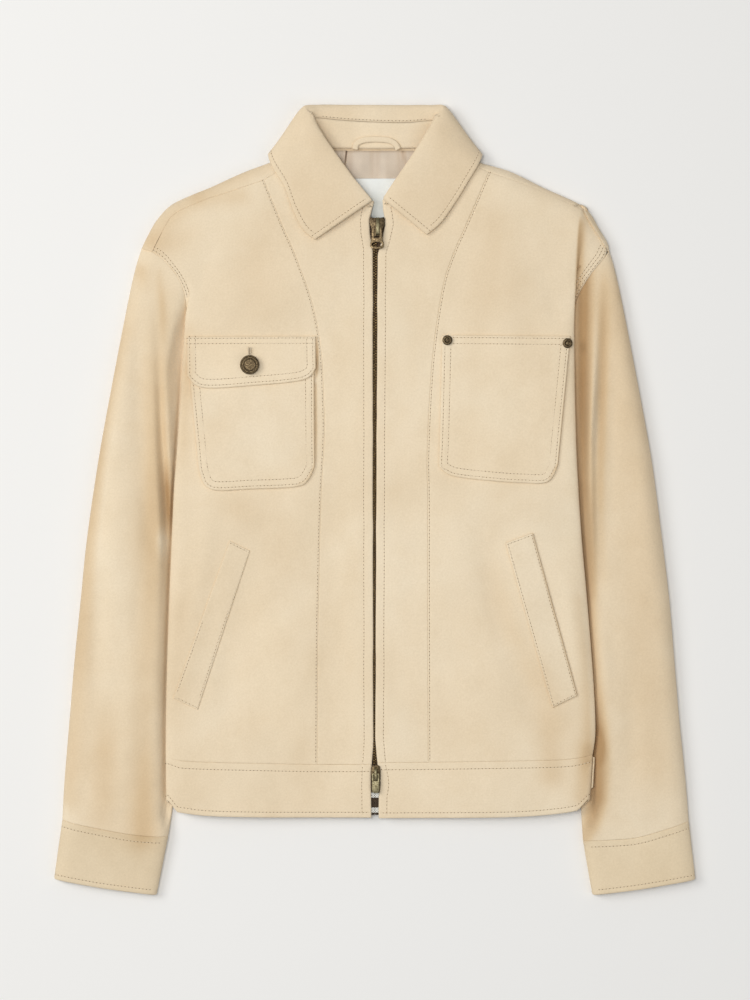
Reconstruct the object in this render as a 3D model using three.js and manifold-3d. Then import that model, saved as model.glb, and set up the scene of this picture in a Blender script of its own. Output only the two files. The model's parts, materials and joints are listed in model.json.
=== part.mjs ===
// A suede blouson laid out flat on its back with the zip closed. Millimetres, +X to the wearer's
// left, +Y from hem to collar, +Z up from the surface. Tables are read on the cutting plan:
// out is the distance from the zip line, up is the height above the hem's lowest point.
import * as THREE from 'three';
import { mergeVertices } from 'three/addons/utils/BufferGeometryUtils.js';
import Module from 'manifold-3d';

const { lerp: mix, clamp, degToRad } = THREE.MathUtils;

// Driving dimensions
const COLLAR_TOP = 643;            // top of the collar above the hem
const CUFF_BOTTOM = -69.7;         // lowest point of the cuffs
const PLAN_MIDDLE = (COLLAR_TOP + CUFF_BOTTOM) / 2;
const WALL = 1.8;                  // suede with its turned edges
const SLEEVE_WALL = 1.6;
const SEAM = 0.35;                 // space kept at every seam
const ON_TOP = 0.6;                // space under a piece that lies on another
const ARMHOLE_SEAM = 1.3;          // space round the armhole, whose two sides bend unlike
const TURNED_SEAM = 1.6;           // space where a turned wall stands against a flat one
const FRONT = { zip: 11, side: 14.5, fold: 11, crownShare: 0.7, foldRoll: 9 };
const RIDGE = { height: 4.8, roll: 17 };
const SLEEVE = { edge: 5, roll: 15, tucked: 4.4, inner: 12, innerEdge: 2.4 };
const WRAP = { turn: 3.6, drop: 3.8, flatIn: 14, flatHeight: 6.2, lowIn: 21, lowHeight: 2.2 };
const BACK_SEAM = 478;             // seam between the back panel and the yoke
const YOKE_LIFT = { from: 550, to: 574, height: 2.7 };
const NECK_START = [70, 601];      // where the shoulder ridge starts under the collar
const ZIP = { gap: 2.3, tape: 13, tapeThick: 1, teethIn: 0.2, teethOut: 2.0, teethThick: 2.4 };

// One row per station from hem to shoulder: the fold line at the body's side, the seam that ends the
// front panel behind it, how far the panel is turned under (0 to 1) and the height of that seam.
const RIGHT_SIDE = [
  // edgeOut, edgeUp, seamOut, seamUp, turn, seamHeight
  [188.5, 55.5, 161.5, 52, 1, 0],
  [188, 106.5, 161, 106, 1, 0],
  [186, 178.5, 160, 178, 1, 0],
  [181.5, 286.5, 158, 286, 1, 0],
  [179.3, 318, 159.5, 318, 1, 0.6],
  [177, 350, 165, 351, 1, 5],
  [174.5, 388, 167.4, 390, 1, 5],
  [172, 430.5, 168.6, 430, 1, 5],
  [170.5, 453, 169.5, 452, 0.72, 6],
  [167, 471, 171.8, 473, 0.25, 8],
  [167, 487, 179, 492, 0, 8],
  [174, 502, 188, 503.5, 0, 8],
  [182.5, 520, 194.5, 510, 0, 8],
  [190, 531, 199.5, 512.5, 0, 8],
];
const LEFT_SIDE = [
  [196, 57, 169, 54, 1, 0],
  [198.5, 80, 171, 80, 1, 0],
  [196.5, 126, 169, 126, 1, 0],
  [191, 196.5, 164, 196, 1, 0],
  [185.5, 260, 160, 260, 1, 0],
  [182, 318, 160, 318, 1, 0.6],
  [180.8, 350, 167.5, 351, 1, 5],
  [180, 388, 171, 390, 1, 5],
  [179.5, 425, 175, 428, 1, 5],
  [179.6, 452, 179.5, 460, 0.8, 6],
  [181, 480, 189.5, 482, 0.5, 6],
  [182.6, 507, 200, 496.5, 0.34, 6],
  [184.5, 530, 207, 506.5, 0.2, 6],
  [186.5, 548.5, 208.8, 514, 0, 6],
];

// Outlines on the plan, each row out, up, from the hem or cuff upwards
const RIGHT = {
  name: 'right',
  sign: -1,
  side: RIGHT_SIDE,
  silhouette: [
    [289.5, -55], [282, -1.5], [280, 34.5], [275.5, 88.5], [271, 142.5], [265.5, 196.5], [260, 250.5],
    [249.5, 322.5], [236.5, 394.5], [222.5, 466.5], [216, 495.5], [210.5, 513.5],
  ],
  ridge: [
    [210.5, 513.5], [204.5, 526], [196.5, 539.5], [184, 552.5], [165.5, 561.5], [147, 569],
    [119.5, 581.5], [93, 591.5], NECK_START,
  ],
  topInset: [-6, 10],
  yokeSeam: [[184, 541], [175, 547.5], [152, 557.5], [131, 564], [119.5, 568], [100, 574.5]],
  yokeToNeck: [[100, 574.5], [91, 580.5], [73, 591]],
  neckline: [[73, 591], [51, 576], [27, 557], [2.8, 550]],
  princess: [
    [52, 48.5], [51.5, 149], [50.5, 206.5], [48.5, 286], [45.5, 343], [46, 377.5], [48.5, 421.5],
    [56.5, 464], [71.5, 506.5], [82, 530.5], [91, 552.5], [100, 574.5],
  ],
  innerSleeve: [
    [186.5, -16.5], [183, 6], [181.5, 25.5], [179.5, 88.5], [179, 160.5], [179, 286.5], [174, 325],
    [166.2, 352],
  ],
  backArmhole: [[166.2, 352], [172, 400], [180, 440], [190, 470], [201, 498], [210.5, 513.5]],
  cuffTop: [[282, -1.5], [265, -6], [223.5, -14], [197.5, -16.5], [186.5, -16.5]],
  cuffEnd: [[289.5, -55], [246.5, -63], [197, -69.5]],
  bandTop: [[2.3, 48.5], [52, 48.5], [99, 49.5], [168.5, 51.5], [188.5, 55.5]],
  hem: [[2.3, 0.5], [52, 0.8], [102, 1], [145, 2], [166.5, 4], [182.5, 7.5], [188, 15]],
  hemSeam: [161.5, 4],
};
const LEFT = {
  name: 'left',
  sign: 1,
  side: LEFT_SIDE,
  silhouette: [
    [289.5, -55], [283, -3], [280, 34.5], [274.5, 88.5], [270, 142.5], [265.5, 196.5], [259, 250.5],
    [249.5, 322.5], [236.5, 394.5], [222.5, 466.5], [216, 495.5], [211.5, 510.5],
  ],
  ridge: [
    [211.5, 510.5], [209.5, 519], [202.5, 530.5], [194, 545], [182, 554.5], [152, 568],
    [122, 582.5], [94, 591], NECK_START,
  ],
  topInset: [-9, 4.4],
  yokeSeam: [[177.5, 552.9], [158, 562], [130, 573], [102.5, 582]],
  yokeToNeck: [[102.5, 582], [93, 586.5], [73, 592.5]],
  neckline: [[73, 592.5], [51, 576], [27, 557], [2.8, 550]],
  princess: [
    [48, 50.5], [47.5, 196.5], [47.5, 286], [47, 325.5], [49.5, 384], [53.5, 429.5], [61.5, 480],
    [71, 509], [82, 534], [93, 559.5], [102.5, 582],
  ],
  innerSleeve: [
    [187.5, -20.5], [186, 7.5], [185.5, 34.5], [184, 106.5], [180, 196.5], [175.5, 286.5],
    [172.5, 325], [168.8, 352],
  ],
  backArmhole: [[168.8, 352], [174, 400], [181, 440], [190, 470], [202, 497], [211.5, 510.5]],
  cuffTop: [[283, -3], [258.5, -11], [231, -18], [187.5, -20.5]],
  cuffEnd: [[289, -55.5], [240, -64], [196, -69.5]],
  bandTop: [[2.3, 50], [48, 50.5], [105, 51.5], [169.5, 53], [196, 57]],
  hem: [[2.3, 0], [48, 0.3], [81, 0.5], [129, 1.5], [161.5, 4], [184, 8], [193.5, 16]],
  hemSeam: [167, 4],
};

// The largest folds: a ridge or trough along a line from start to end, with its half width and lift
const BODY_FOLDS = {
  right: [
    // out, up, out, up, width, lift
    [150, 262, 172, 120, 10, 1.5],
    [110, 250, 128, 70, 16, -1.2],
    [60, 330, 70, 200, 18, 0.8],
    [120, 475, 150, 435, 12, 1.0],
  ],
  left: [
    [96, 250, 118, 150, 12, -2.2],
    [118, 150, 152, 80, 12, -1.8],
    [172, 236, 186, 120, 8, 1.4],
    [150, 500, 166, 446, 9, -1.2],
  ],
};
const SLEEVE_FOLDS = {
  right: [
    [215, 470, 208, 300, 9, -2.6],
    [208, 300, 202, 240, 8, -2.2],
    [236, 380, 232, 180, 14, 1.6],
    [250, 210, 262, 70, 12, -1.6],
    [222, 120, 226, 20, 12, 1.6],
  ],
  left: [
    [202, 497, 193, 327, 6, 2.4],
    [193, 327, 195.5, 120, 6, 2.0],
    [215, 440, 210, 250, 8, -2.4],
    [238, 330, 246, 160, 13, 1.4],
    [228, 150, 232, 20, 11, -1.8],
  ],
};
const SLEEVE_HEIGHTS = [[11.5, -70], [12.5, -10], [14.5, 60], [16, 250], [16, 400], [14.5, 515]];

// Sections of the collar from the front end round to the middle of the back. The face side runs
// from the neckline up the stand, over the roll line and down the leaf to its edge. lean is the
// slope of the face at the roll line: 90 climbs, 0 is level and -90 falls.
const COLLAR_COLUMNS = { neck: 0, seam: 3, roll: 6, edge: 9, lean: 12, reach: 13 };
const RIGHT_COLLAR = [
  // neck: out, up, height; seam; roll; edge; lean; reach of the roll's curve
  [2.8, 551, 12.2, 8, 553, 12.6, 2, 556, 15, 54, 520.5, 16.2, 80, 4],
  [25, 557.5, 12.4, 26, 571, 13, 19, 576.5, 15.8, 65, 530, 16.6, 80, 4],
  [49, 576, 12.6, 45, 594, 13.5, 38, 602.5, 16.5, 74, 547.5, 16.6, 72, 5],
  [61, 587, 12.2, 54.5, 610, 14.5, 49, 618.5, 17.5, 82, 569, 17, 55, 6],
  [69, 596, 12, 57.5, 622, 15.5, 57, 631.5, 17, 92.5, 586, 15.6, 25, 8],
  [69, 602.5, 9, 56, 630, 13, 61.5, 640, 14, 96.5, 599, 7, -15, 9],
  [58, 603.5, 5, 49, 630.5, 10, 49, 643, 7, 82, 590, 0, -75, 6],
  [32, 603.4, 4.4, 27, 628.5, 9, 27, 643, 5.5, 48, 583.5, 0, -88, 5],
  [0, 603, 4.4, 0, 627, 9, 0, 643, 5.5, 0, 583, 0, -90, 5],
];
const LEFT_COLLAR = [
  [2.8, 551, 12.2, 9, 554, 12.6, 5.5, 557, 15, 46.5, 525, 16.2, 80, 4],
  [25, 557.5, 12.4, 27, 573, 13, 21, 579, 15.8, 60, 536.5, 16.6, 80, 4],
  [49, 576, 12.6, 44.5, 594, 13.5, 37, 602.5, 16.5, 74, 556.5, 16.6, 72, 5],
  [61, 587, 12.2, 53, 608, 14.5, 46, 616.5, 17.5, 84, 573, 17, 55, 6],
  [69, 596, 12, 57, 619, 15.5, 53.5, 627, 17, 93, 588, 15.6, 25, 8],
  [69, 602.5, 9, 56, 627, 13, 60.5, 640, 14, 96.8, 599, 7, -15, 9],
  [58, 603.5, 5, 48, 628, 10, 48, 642.7, 7, 82, 590, 0, -75, 6],
  [32, 603.4, 4.4, 27, 626.5, 9, 27, 642.8, 5.5, 48, 583.5, 0, -88, 5],
  [0, 603, 4.4, 0, 627, 9, 0, 643, 5.5, 0, 583, 0, -90, 5],
];

// Patch pieces on the fronts, outlined on the plan
const FLAP = {
  top: [[53.5, 434], [169.5, 433.5]],
  bottom: [[53, 405], [65, 394.5], [110.5, 389.5], [154.5, 387.5], [168.8, 398]],
};
const FLAP_POCKET = {
  top: [[54.5, 404], [167, 402]],
  bottom: [[54, 317], [60, 304.5], [71, 298.5], [110.5, 296.5], [148.5, 296.5], [158.5, 315]],
};
const OPEN_POCKET = {
  top: [[60.5, 435], [176, 434]],
  bottom: [[57.5, 316.5], [69, 308.5], [98, 304.5], [132.5, 302], [155.5, 303], [164.5, 318]],
};
const RIGHT_WELT = [[112.5, 241], [130.5, 250], [181.5, 108.5], [159.5, 98]];
const LEFT_WELT = [[117.5, 248], [142, 257], [182, 111], [159.5, 100]];
const POCKET_UNDER_FLAP = 407;
const BUTTON = { out: 112.5, up: 408, radius: 8.65, height: 3.6 };
const RIVETS = { places: [[65, 430.3], [173, 427.5]], radius: 4.5, height: 1.7 };

const SUEDE = { color: 0xe2d0b2, roughness: 0.95, metalness: 0 };
const SUEDE_SHADE = { color: 0xdcc8a8, roughness: 0.95, metalness: 0 };
const SATIN = { color: 0xd2c1ac, roughness: 0.5, metalness: 0 };
const LABEL = { color: 0xece8e0, roughness: 0.7, metalness: 0 };
const TAPE = { color: 0xb39872, roughness: 0.85, metalness: 0 };
const BRASS = { color: 0x8c7148, roughness: 0.4, metalness: 0.9 };
const DARK_BRASS = { color: 0x4f3f2c, roughness: 0.45, metalness: 0.8 };

// Curves and tables
const smooth = (t) => THREE.MathUtils.smoothstep(t, 0, 1);

// Quarter circle: 0 at the edge, 1 once the roll is behind
function roundOver(t) {
  const rest = 1 - clamp(t, 0, 1);
  return Math.sqrt(1 - rest * rest);
}

// Smooth curve through the rows of a table, at t from 0 to 1
function spline(rows) {
  const last = rows.length - 1;
  return (t) => {
    const place = clamp(t, 0, 1) * last;
    const i = Math.min(Math.floor(place), last - 1);
    const f = place - i;
    const before = rows[Math.max(i - 1, 0)];
    const after = rows[Math.min(i + 2, last)];
    return rows[i].map((b, k) => {
      const [a, c, d] = [before[k], rows[i + 1][k], after[k]];
      return b + 0.5 * f * (c - a + f * (2 * a - 5 * b + 4 * c - d + f * (3 * b - a - 3 * c + d)));
    });
  };
}

// Rows at the given shares of the curve's length, measured on its first two columns; a number
// instead of the shares divides the curve evenly
function spaced(rows, divisions) {
  const shares = Array.isArray(divisions) ? divisions
    : Array.from({ length: divisions + 1 }, (_, k) => k / divisions);
  const curve = spline(rows);
  const steps = 40 * rows.length;
  const fine = Array.from({ length: steps + 1 }, (_, i) => curve(i / steps));
  const run = [0];
  for (let i = 1; i <= steps; i += 1) {
    run.push(run[i - 1] + Math.hypot(fine[i][0] - fine[i - 1][0], fine[i][1] - fine[i - 1][1]));
  }
  let i = 0;
  return shares.map((share) => {
    const wanted = run[steps] * share;
    while (i < steps - 1 && run[i + 1] < wanted) i += 1;
    const f = clamp((wanted - run[i]) / (run[i + 1] - run[i]), 0, 1);
    return fine[i].map((value, c) => mix(value, fine[i + 1][c], f));
  });
}

// First column of a table of value, up rows, read at a height; rows run upwards
function readAt(rows, up) {
  let i = 0;
  while (i < rows.length - 2 && rows[i + 1][1] < up) i += 1;
  const [a, b] = [rows[i], rows[i + 1]];
  return mix(a[0], b[0], clamp((up - a[1]) / (b[1] - a[1]), 0, 1));
}

// Nearest distance from a place to a line of points, and the share of the line it is at
function distanceTo(points, out, up) {
  let best = Infinity;
  let share = 0;
  for (let i = 0; i < points.length - 1; i += 1) {
    const [ax, ay] = points[i];
    const [bx, by] = points[i + 1];
    const length2 = (bx - ax) ** 2 + (by - ay) ** 2;
    const t = clamp(((out - ax) * (bx - ax) + (up - ay) * (by - ay)) / length2, 0, 1);
    const away = Math.hypot(out - mix(ax, bx, t), up - mix(ay, by, t));
    if (away < best) {
      best = away;
      share = (i + t) / (points.length - 1);
    }
  }
  return { away: best, share };
}

function foldLift(folds, out, up) {
  let lift = 0;
  for (const [out0, up0, out1, up1, width, height] of folds) {
    const { away, share } = distanceTo([[out0, up0], [out1, up1]], out, up);
    lift += height * Math.exp(-((away / width) ** 2)) * Math.sqrt(4 * share * (1 - share) + 0.05);
  }
  return lift;
}

// Plan grid between four border lines: low and high run outwards, near and far run upwards
function patch(low, high, near, far, risingShares = null) {
  const across = low.length - 1;
  const rise = near.length - 1;
  return near.map((_, j) => low.map((_unused, i) => {
    const [u, v] = [i / across, risingShares ? risingShares[j] : j / rise];
    return [0, 1].map((k) => mix(low[i][k], high[i][k], v) + mix(near[j][k], far[j][k], u)
      - mix(mix(low[0][k], low[across][k], u), mix(high[0][k], high[across][k], u), v));
  }));
}

// Heights of the cloth above the surface it lies on
for (const side of [RIGHT, LEFT]) {
  side.edge = side.side.map((row) => [row[0], row[1]]);
  side.turn = side.side.map((row) => [row[4], row[1]]);
  side.inner = side.innerSleeve;
}

function crownHeight(side, out, up) {
  const share = out / (FRONT.crownShare * readAt(side.edge, up));
  return mix(FRONT.zip, FRONT.side, smooth(share)) + foldLift(BODY_FOLDS[side.name], out, up);
}

function shoulderHeight(side, out, up) {
  const { away } = distanceTo(side.ridge, out, up);
  return mix(RIDGE.height, crownHeight(side, out, up), roundOver(away / RIDGE.roll));
}

function frontHeight(side, out, up) {
  const inside = readAt(side.edge, up) - out;
  const open = shoulderHeight(side, out, up);
  const rolled = mix(FRONT.fold, open, roundOver(inside / FRONT.foldRoll));
  return mix(open, rolled, readAt(side.turn, up));
}

// How far a sleeve lies under the body's fold, from 0 below the hem to 1
const underBody = (side, up) => smooth((up + 14) / 18) * readAt(side.turn, up);

function sleeveHeight(side, out, up) {
  const full = readAt(SLEEVE_HEIGHTS, up) + foldLift(SLEEVE_FOLDS[side.name], out, up);
  const outer = roundOver((readAt(side.silhouette, up) - out) / SLEEVE.roll);
  const inner = roundOver((out - readAt(side.inner, up)) / SLEEVE.inner);
  const free = mix(SLEEVE.edge, full, Math.min(outer, inner));
  const pastBody = roundOver((out - readAt(side.edge, up) - 1.5) / SLEEVE.inner);
  const covered = mix(SLEEVE.tucked, mix(SLEEVE.edge, full, outer), pastBody);
  return Math.min(mix(free, covered, underBody(side, up)), mix(SLEEVE.edge, full, outer));
}

// Direction that the front faces at a place near the shoulder
function slopeAt(side, point) {
  const [out, up] = [side.sign * point.x, point.y + PLAN_MIDDLE];
  const outwards = (shoulderHeight(side, out + 1, up) - shoulderHeight(side, out - 1, up)) / 2;
  const upwards = (shoulderHeight(side, out, up + 1) - shoulderHeight(side, out, up - 1)) / 2;
  return new THREE.Vector3(-side.sign * outwards, -upwards, 1).normalize();
}

function facedAlongTop(side, rows, from = 0) {
  rows.at(-1).slice(from).forEach((point) => {
    point.face = slopeAt(side, point);
  });
  return rows;
}

const yokeFloor = (up) => {
  const share = (up - YOKE_LIFT.from) / (YOKE_LIFT.to - YOKE_LIFT.from);
  return YOKE_LIFT.height * smooth(share);
};

const place = (side, out, up, height) => new THREE.Vector3(side.sign * out, up - PLAN_MIDDLE, height);

// Closed walls from points on their face side
function makeGeometry(points, triangles) {
  const geometry = new THREE.BufferGeometry();
  const numbers = points.flatMap((point) => point.toArray());
  geometry.setAttribute('position', new THREE.Float32BufferAttribute(numbers, 3));
  geometry.setIndex(triangles);
  return geometry;
}

// A wall of even thickness behind a sheet of four-cornered faces that run anticlockwise on the face.
// A point may carry its own face direction, so that two pieces agree along their seam.
function wall(points, faces, thickness) {
  const normals = points.map(() => new THREE.Vector3());
  const edges = new Set();
  const [p, q] = [new THREE.Vector3(), new THREE.Vector3()];
  for (const face of faces) {
    p.subVectors(points[face[2]], points[face[0]]);
    q.subVectors(points[face[3]], points[face[1]]);
    p.cross(q);
    face.forEach((corner, k) => {
      normals[corner].add(p);
      edges.add(`${corner},${face[(k + 1) % 4]}`);
    });
  }
  const count = points.length;
  const back = points.map((point, k) => {
    const normal = point.face ?? normals[k].normalize();
    return point.clone().addScaledVector(normal, -thickness);
  });
  const triangles = [];
  for (const [a, b, c, d] of faces) {
    const [e, f, g, h] = [a, b, c, d].map((corner) => corner + count);
    triangles.push(a, b, c, a, c, d, e, g, f, e, h, g);
    for (const [m, n] of [[a, b], [b, c], [c, d], [d, a]]) {
      if (!edges.has(`${n},${m}`)) triangles.push(n, m, m + count, n, m + count, n + count);
    }
  }
  return makeGeometry(points.concat(back), triangles);
}

// Rows of points into a wall. turned flips the face side, closed joins each row's ends.
function sheet(rows, thickness, { turned = false, closed = false } = {}) {
  const width = rows[0].length;
  const faces = [];
  for (let j = 0; j < rows.length - 1; j += 1) {
    for (let i = 0; i < (closed ? width : width - 1); i += 1) {
      const next = (i + 1) % width;
      const face = [j * width + i, j * width + next, (j + 1) * width + next, (j + 1) * width + i];
      faces.push(turned ? face.reverse() : face);
    }
  }
  return wall(rows.flat(), faces, thickness);
}

// Draws a sheet's border in by half a seam on the chosen borders
function drawnIn(rows, { low = true, high = true, near = true, far = true } = {}) {
  const moved = rows.map((row) => row.map((point) => point.clone()));
  const [lastRow, lastColumn] = [rows.length - 1, rows[0].length - 1];
  const pull = (j, i, j2, i2) => {
    const towards = rows[j2][i2].clone().sub(rows[j][i]).setLength(SEAM / 2);
    moved[j][i].add(towards);
  };
  rows[0].forEach((_, i) => {
    if (low) pull(0, i, 1, i);
    if (high) pull(lastRow, i, lastRow - 1, i);
  });
  rows.forEach((_, j) => {
    if (near) pull(j, 0, j, 1);
    if (far) pull(j, lastColumn, j, lastColumn - 1);
  });
  return moved;
}

const facing = (side) => ({ turned: side.sign < 0 });

// Body fronts, with closer rows where the cloth rounds over the shoulder
const EVEN_ROWS = 17;
const ROW_SHARES = Array.from({ length: EVEN_ROWS + 1 }, (_, k) => (k / EVEN_ROWS) * 0.92)
  .concat([0.95, 0.972, 0.988, 1]);
const ROWS = ROW_SHARES.length - 1;
const MAIN = 6;
const TOP_BLEND = 32;
const NECK_COLUMNS = 5;
const YOKE_COLUMNS = 2;

const yokeSeamRow = (side) => spaced(side.yokeSeam.slice().reverse(), MAIN);

function centreGrid(side) {
  const high = spaced(side.neckline.slice().reverse(), NECK_COLUMNS)
    .concat(spaced(side.yokeToNeck.slice().reverse(), YOKE_COLUMNS).slice(1));
  const low = spaced(side.bandTop.slice(0, 2), NECK_COLUMNS + YOKE_COLUMNS);
  const near = spaced([low[0], high[0]], ROW_SHARES);
  const far = spaced(side.princess, ROW_SHARES);
  low[low.length - 1] = far[0];
  return patch(low, high, near, far, ROW_SHARES)
    .map((row) => row.map(([out, up]) => place(side, out, up, frontHeight(side, out, up))));
}

// The turned part of a side: from the fold line round underneath to its seam
function turnedUnder(side, [edgeOut, edgeUp, seamOut, seamUp, turn, seamHeight]) {
  const open = shoulderHeight(side, edgeOut, edgeUp);
  const edgeHeight = mix(open, FRONT.fold, turn);
  const flush = shoulderHeight(side, seamOut, seamUp);
  const endHeight = mix(flush, seamHeight, smooth(turn * 1.15));
  const low = Math.min(WRAP.lowHeight, seamHeight + 3);
  const stops = [
    [1 / 4, WRAP.turn, FRONT.fold - WRAP.drop],
    [1 / 2, WRAP.flatIn, Math.max(WRAP.flatHeight, seamHeight + 0.6)],
    [3 / 4, WRAP.lowIn, Math.max(low, seamHeight + 0.3)],
  ];
  const reach = Math.abs(edgeOut - seamOut) / (side.side[0][0] - side.side[0][2]);
  const points = stops.map(([share, inward, height]) => {
    const under = edgeOut - Math.min(inward, WRAP.turn + (inward - WRAP.turn) * Math.min(reach, 1));
    const out = mix(mix(edgeOut, seamOut, share), under, turn);
    return place(side, out, mix(edgeUp, seamUp, share), mix(mix(open, flush, share), height, turn));
  });
  return [place(side, edgeOut, edgeUp, edgeHeight), ...points, place(side, seamOut, seamUp, endHeight)];
}

// Where the flat part of a side ends, in from its fold line; at the top this runs along the yoke seam
function foldStart(side, [edgeOut, edgeUp], share) {
  const top = smooth((edgeUp - side.edge.at(-1)[1]) / TOP_BLEND + 1);
  return [
    edgeOut + mix(-FRONT.foldRoll, side.topInset[0], top) * share,
    edgeUp + mix(0, side.topInset[1], top) * share,
  ];
}

function sideGrid(side) {
  const stations = spaced(side.side, ROW_SHARES);
  const near = spaced(side.princess, ROW_SHARES);
  const far = stations.map((station) => foldStart(side, station, 1));
  const low = spaced(side.bandTop.slice(1), MAIN);
  const high = yokeSeamRow(side);
  low[0] = near[0];
  low[MAIN] = far[0];
  high[MAIN] = far[ROWS];
  return patch(low, high, near, far, ROW_SHARES).map((row, j) => {
    const station = stations[j];
    const top = row.concat([foldStart(side, station, 0.3)])
      .map(([out, up]) => place(side, out, up, frontHeight(side, out, up)));
    return top.concat(turnedUnder(side, station));
  });
}

// Waistband front: the same section as the side above it, from the band's top down to the hem
function bandGrid(side) {
  const columns = 9;
  const top = spaced(side.bandTop, columns);
  const hem = spaced(side.hem, columns);
  const rowShares = [0, 0.12, 0.5, 1];
  return rowShares.map((share) => {
    const line = hem.map((low, i) => [mix(low[0], top[i][0], share), mix(low[1], top[i][1], share)]);
    const [edgeOut, edgeUp] = line[columns];
    const seamOut = mix(side.hemSeam[0], side.side[0][2], share);
    const seamUp = mix(side.hemSeam[1], side.side[0][3], share);
    const flat = line.slice(0, columns).concat([[edgeOut - FRONT.foldRoll * 0.3, edgeUp]]);
    return flat
      .map(([out, up]) => place(side, out, up, frontHeight(side, out, up)))
      .concat(turnedUnder(side, [edgeOut, edgeUp, seamOut, seamUp, 1, 0]));
  });
}

// Back, lying on the surface, seen from below as its face side
const UNDERARM = 350;
const SIDE_SEAM_ROWS = 7;
const ARMHOLE_ROWS = 7;

// Out of the back armhole at a height on the back
function backArmholeAt(side, up) {
  return readAt(spaced(side.backArmhole, 40), up);
}

function backGrid() {
  const columns = 8;
  const borders = [RIGHT, LEFT].map((side) => {
    const underarm = side.side.filter((row) => row[1] < UNDERARM + 2);
    const seam = spaced(underarm.map((row) => [row[2], row[3]]), SIDE_SEAM_ROWS);
    const armhole = Array.from({ length: ARMHOLE_ROWS }, (_, k) => {
      const up = mix(seam.at(-1)[1], BACK_SEAM, (k + 1) / ARMHOLE_ROWS);
      return [backArmholeAt(side, up), up];
    });
    return seam.concat(armhole).map(([out, up]) => [out - TURNED_SEAM, up]);
  });
  return borders[0].map((right, j) => Array.from({ length: columns + 1 }, (_, i) => {
    const left = borders[1][j];
    const share = i / columns;
    return new THREE.Vector3(
      mix(-right[0], left[0], share),
      mix(right[1], left[1], share) - PLAN_MIDDLE,
      0,
    );
  }));
}

function backBandGrid() {
  const columns = 8;
  return [0, 0.5, 1].map((share) => Array.from({ length: columns + 1 }, (_, i) => {
    const [right, left] = [RIGHT, LEFT].map((side) => [
      mix(side.hemSeam[0], side.side[0][2], share) - TURNED_SEAM,
      mix(side.hemSeam[1], side.side[0][3], share),
    ]);
    const across = i / columns;
    return new THREE.Vector3(
      mix(-right[0], left[0], across),
      mix(right[1], left[1], across) - PLAN_MIDDLE,
      0,
    );
  }));
}

// The yoke is one piece: flat across the back, over each shoulder ridge and down to the front seam
function yokeGeometry(sideGrids) {
  const backRows = 4;
  const stripShares = [0.12, 0.4, 0.7, 1];
  const points = [];
  const faces = [];
  const columns = [];
  const addPoint = (point) => points.push(point) - 1;

  const ridges = [RIGHT, LEFT].map((side, k) => {
    const { centre, front } = sideGrids[k];
    const centreTop = centre[ROWS].slice(NECK_COLUMNS);
    const sideTop = front[ROWS].slice(1);
    const seam = centreTop.concat(sideTop).reverse();
    return { side, seam, ridge: spaced(side.ridge, seam.length - 1) };
  });
  const neckColumns = 6;
  const neck = Array.from({ length: neckColumns + 1 }, (_, i) => {
    const x = mix(-NECK_START[0], NECK_START[0], i / neckColumns);
    return [x, mix(602, NECK_START[1], Math.abs(x) / NECK_START[0]) - 0.6];
  });

  // Borders of the flat part from the wearer's right armhole to the left one
  const top = [];
  for (const { side, ridge, seam } of [ridges[0], { ...ridges[1], flip: true }]) {
    const shoulder = ridge.map(([out, up], i) => {
      const [a, b] = [ridge[Math.max(i - 1, 0)], ridge[Math.min(i + 1, ridge.length - 1)]];
      const run = Math.hypot(b[0] - a[0], b[1] - a[1]);
      const inward = [(a[1] - b[1]) / run, (b[0] - a[0]) / run].map((value) => 4 * value);
      const strip = [place(side, out, up, RIDGE.height + yokeFloor(up) * 0.5)];
      const last = seam[i].clone();
      const towards = new THREE.Vector3(side.sign * out, up - PLAN_MIDDLE, last.z).sub(last);
      last.add(towards.setLength(SEAM * 1.5));
      last.face = slopeAt(side, last);
      for (const share of stripShares.slice(0, -1)) {
        const x = mix(side.sign * out, last.x, share);
        const y = mix(up - PLAN_MIDDLE, last.y, share);
        strip.push(place(side, side.sign * x, y + PLAN_MIDDLE,
          shoulderHeight(side, side.sign * x, y + PLAN_MIDDLE)));
      }
      strip.push(last);
      return { x: side.sign * (out + inward[0]), up: up + inward[1], strip };
    });
    if (side === LEFT) {
      neck.slice(1, -1).forEach(([x, up]) => top.push({ x, up }));
      top.push(...shoulder.reverse());
    } else {
      top.push(...shoulder);
    }
  }
  const half = [RIGHT, LEFT].map((side) => backArmholeAt(side, BACK_SEAM) - TURNED_SEAM);
  top.forEach((upper, i) => {
    const lower = mix(-half[0], half[1], i / (top.length - 1));
    const column = [];
    for (let j = 0; j <= backRows; j += 1) {
      const up = mix(BACK_SEAM + SEAM, upper.up, j / backRows);
      const x = mix(lower, upper.x, j / backRows);
      column.push(addPoint(new THREE.Vector3(x, up - PLAN_MIDDLE, yokeFloor(up))));
    }
    columns.push(column.concat((upper.strip ?? []).map(addPoint)));
  });
  for (let i = 0; i < columns.length - 1; i += 1) {
    const [a, b] = [columns[i], columns[i + 1]];
    for (let j = 0; j < Math.min(a.length, b.length) - 1; j += 1) {
      faces.push([a[j], a[j + 1], b[j + 1], b[j]]);
    }
  }
  return wall(points, faces, WALL);
}

// Sleeves and cuffs: rings of a top layer and a bottom layer, shares running from outer to inner fold
const TOP_SHARES = [0, 0.015, 0.05, 0.11, 0.2, 0.32, 0.44, 0.56, 0.68, 0.79, 0.88, 0.95, 1];
const BOTTOM_SHARES = [0.97, 0.88, 0.7, 0.5, 0.3, 0.12, 0.03];
const BOTTOM_ROLL = 6;

const pick = (line, share) => spline(line)(share);

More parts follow.
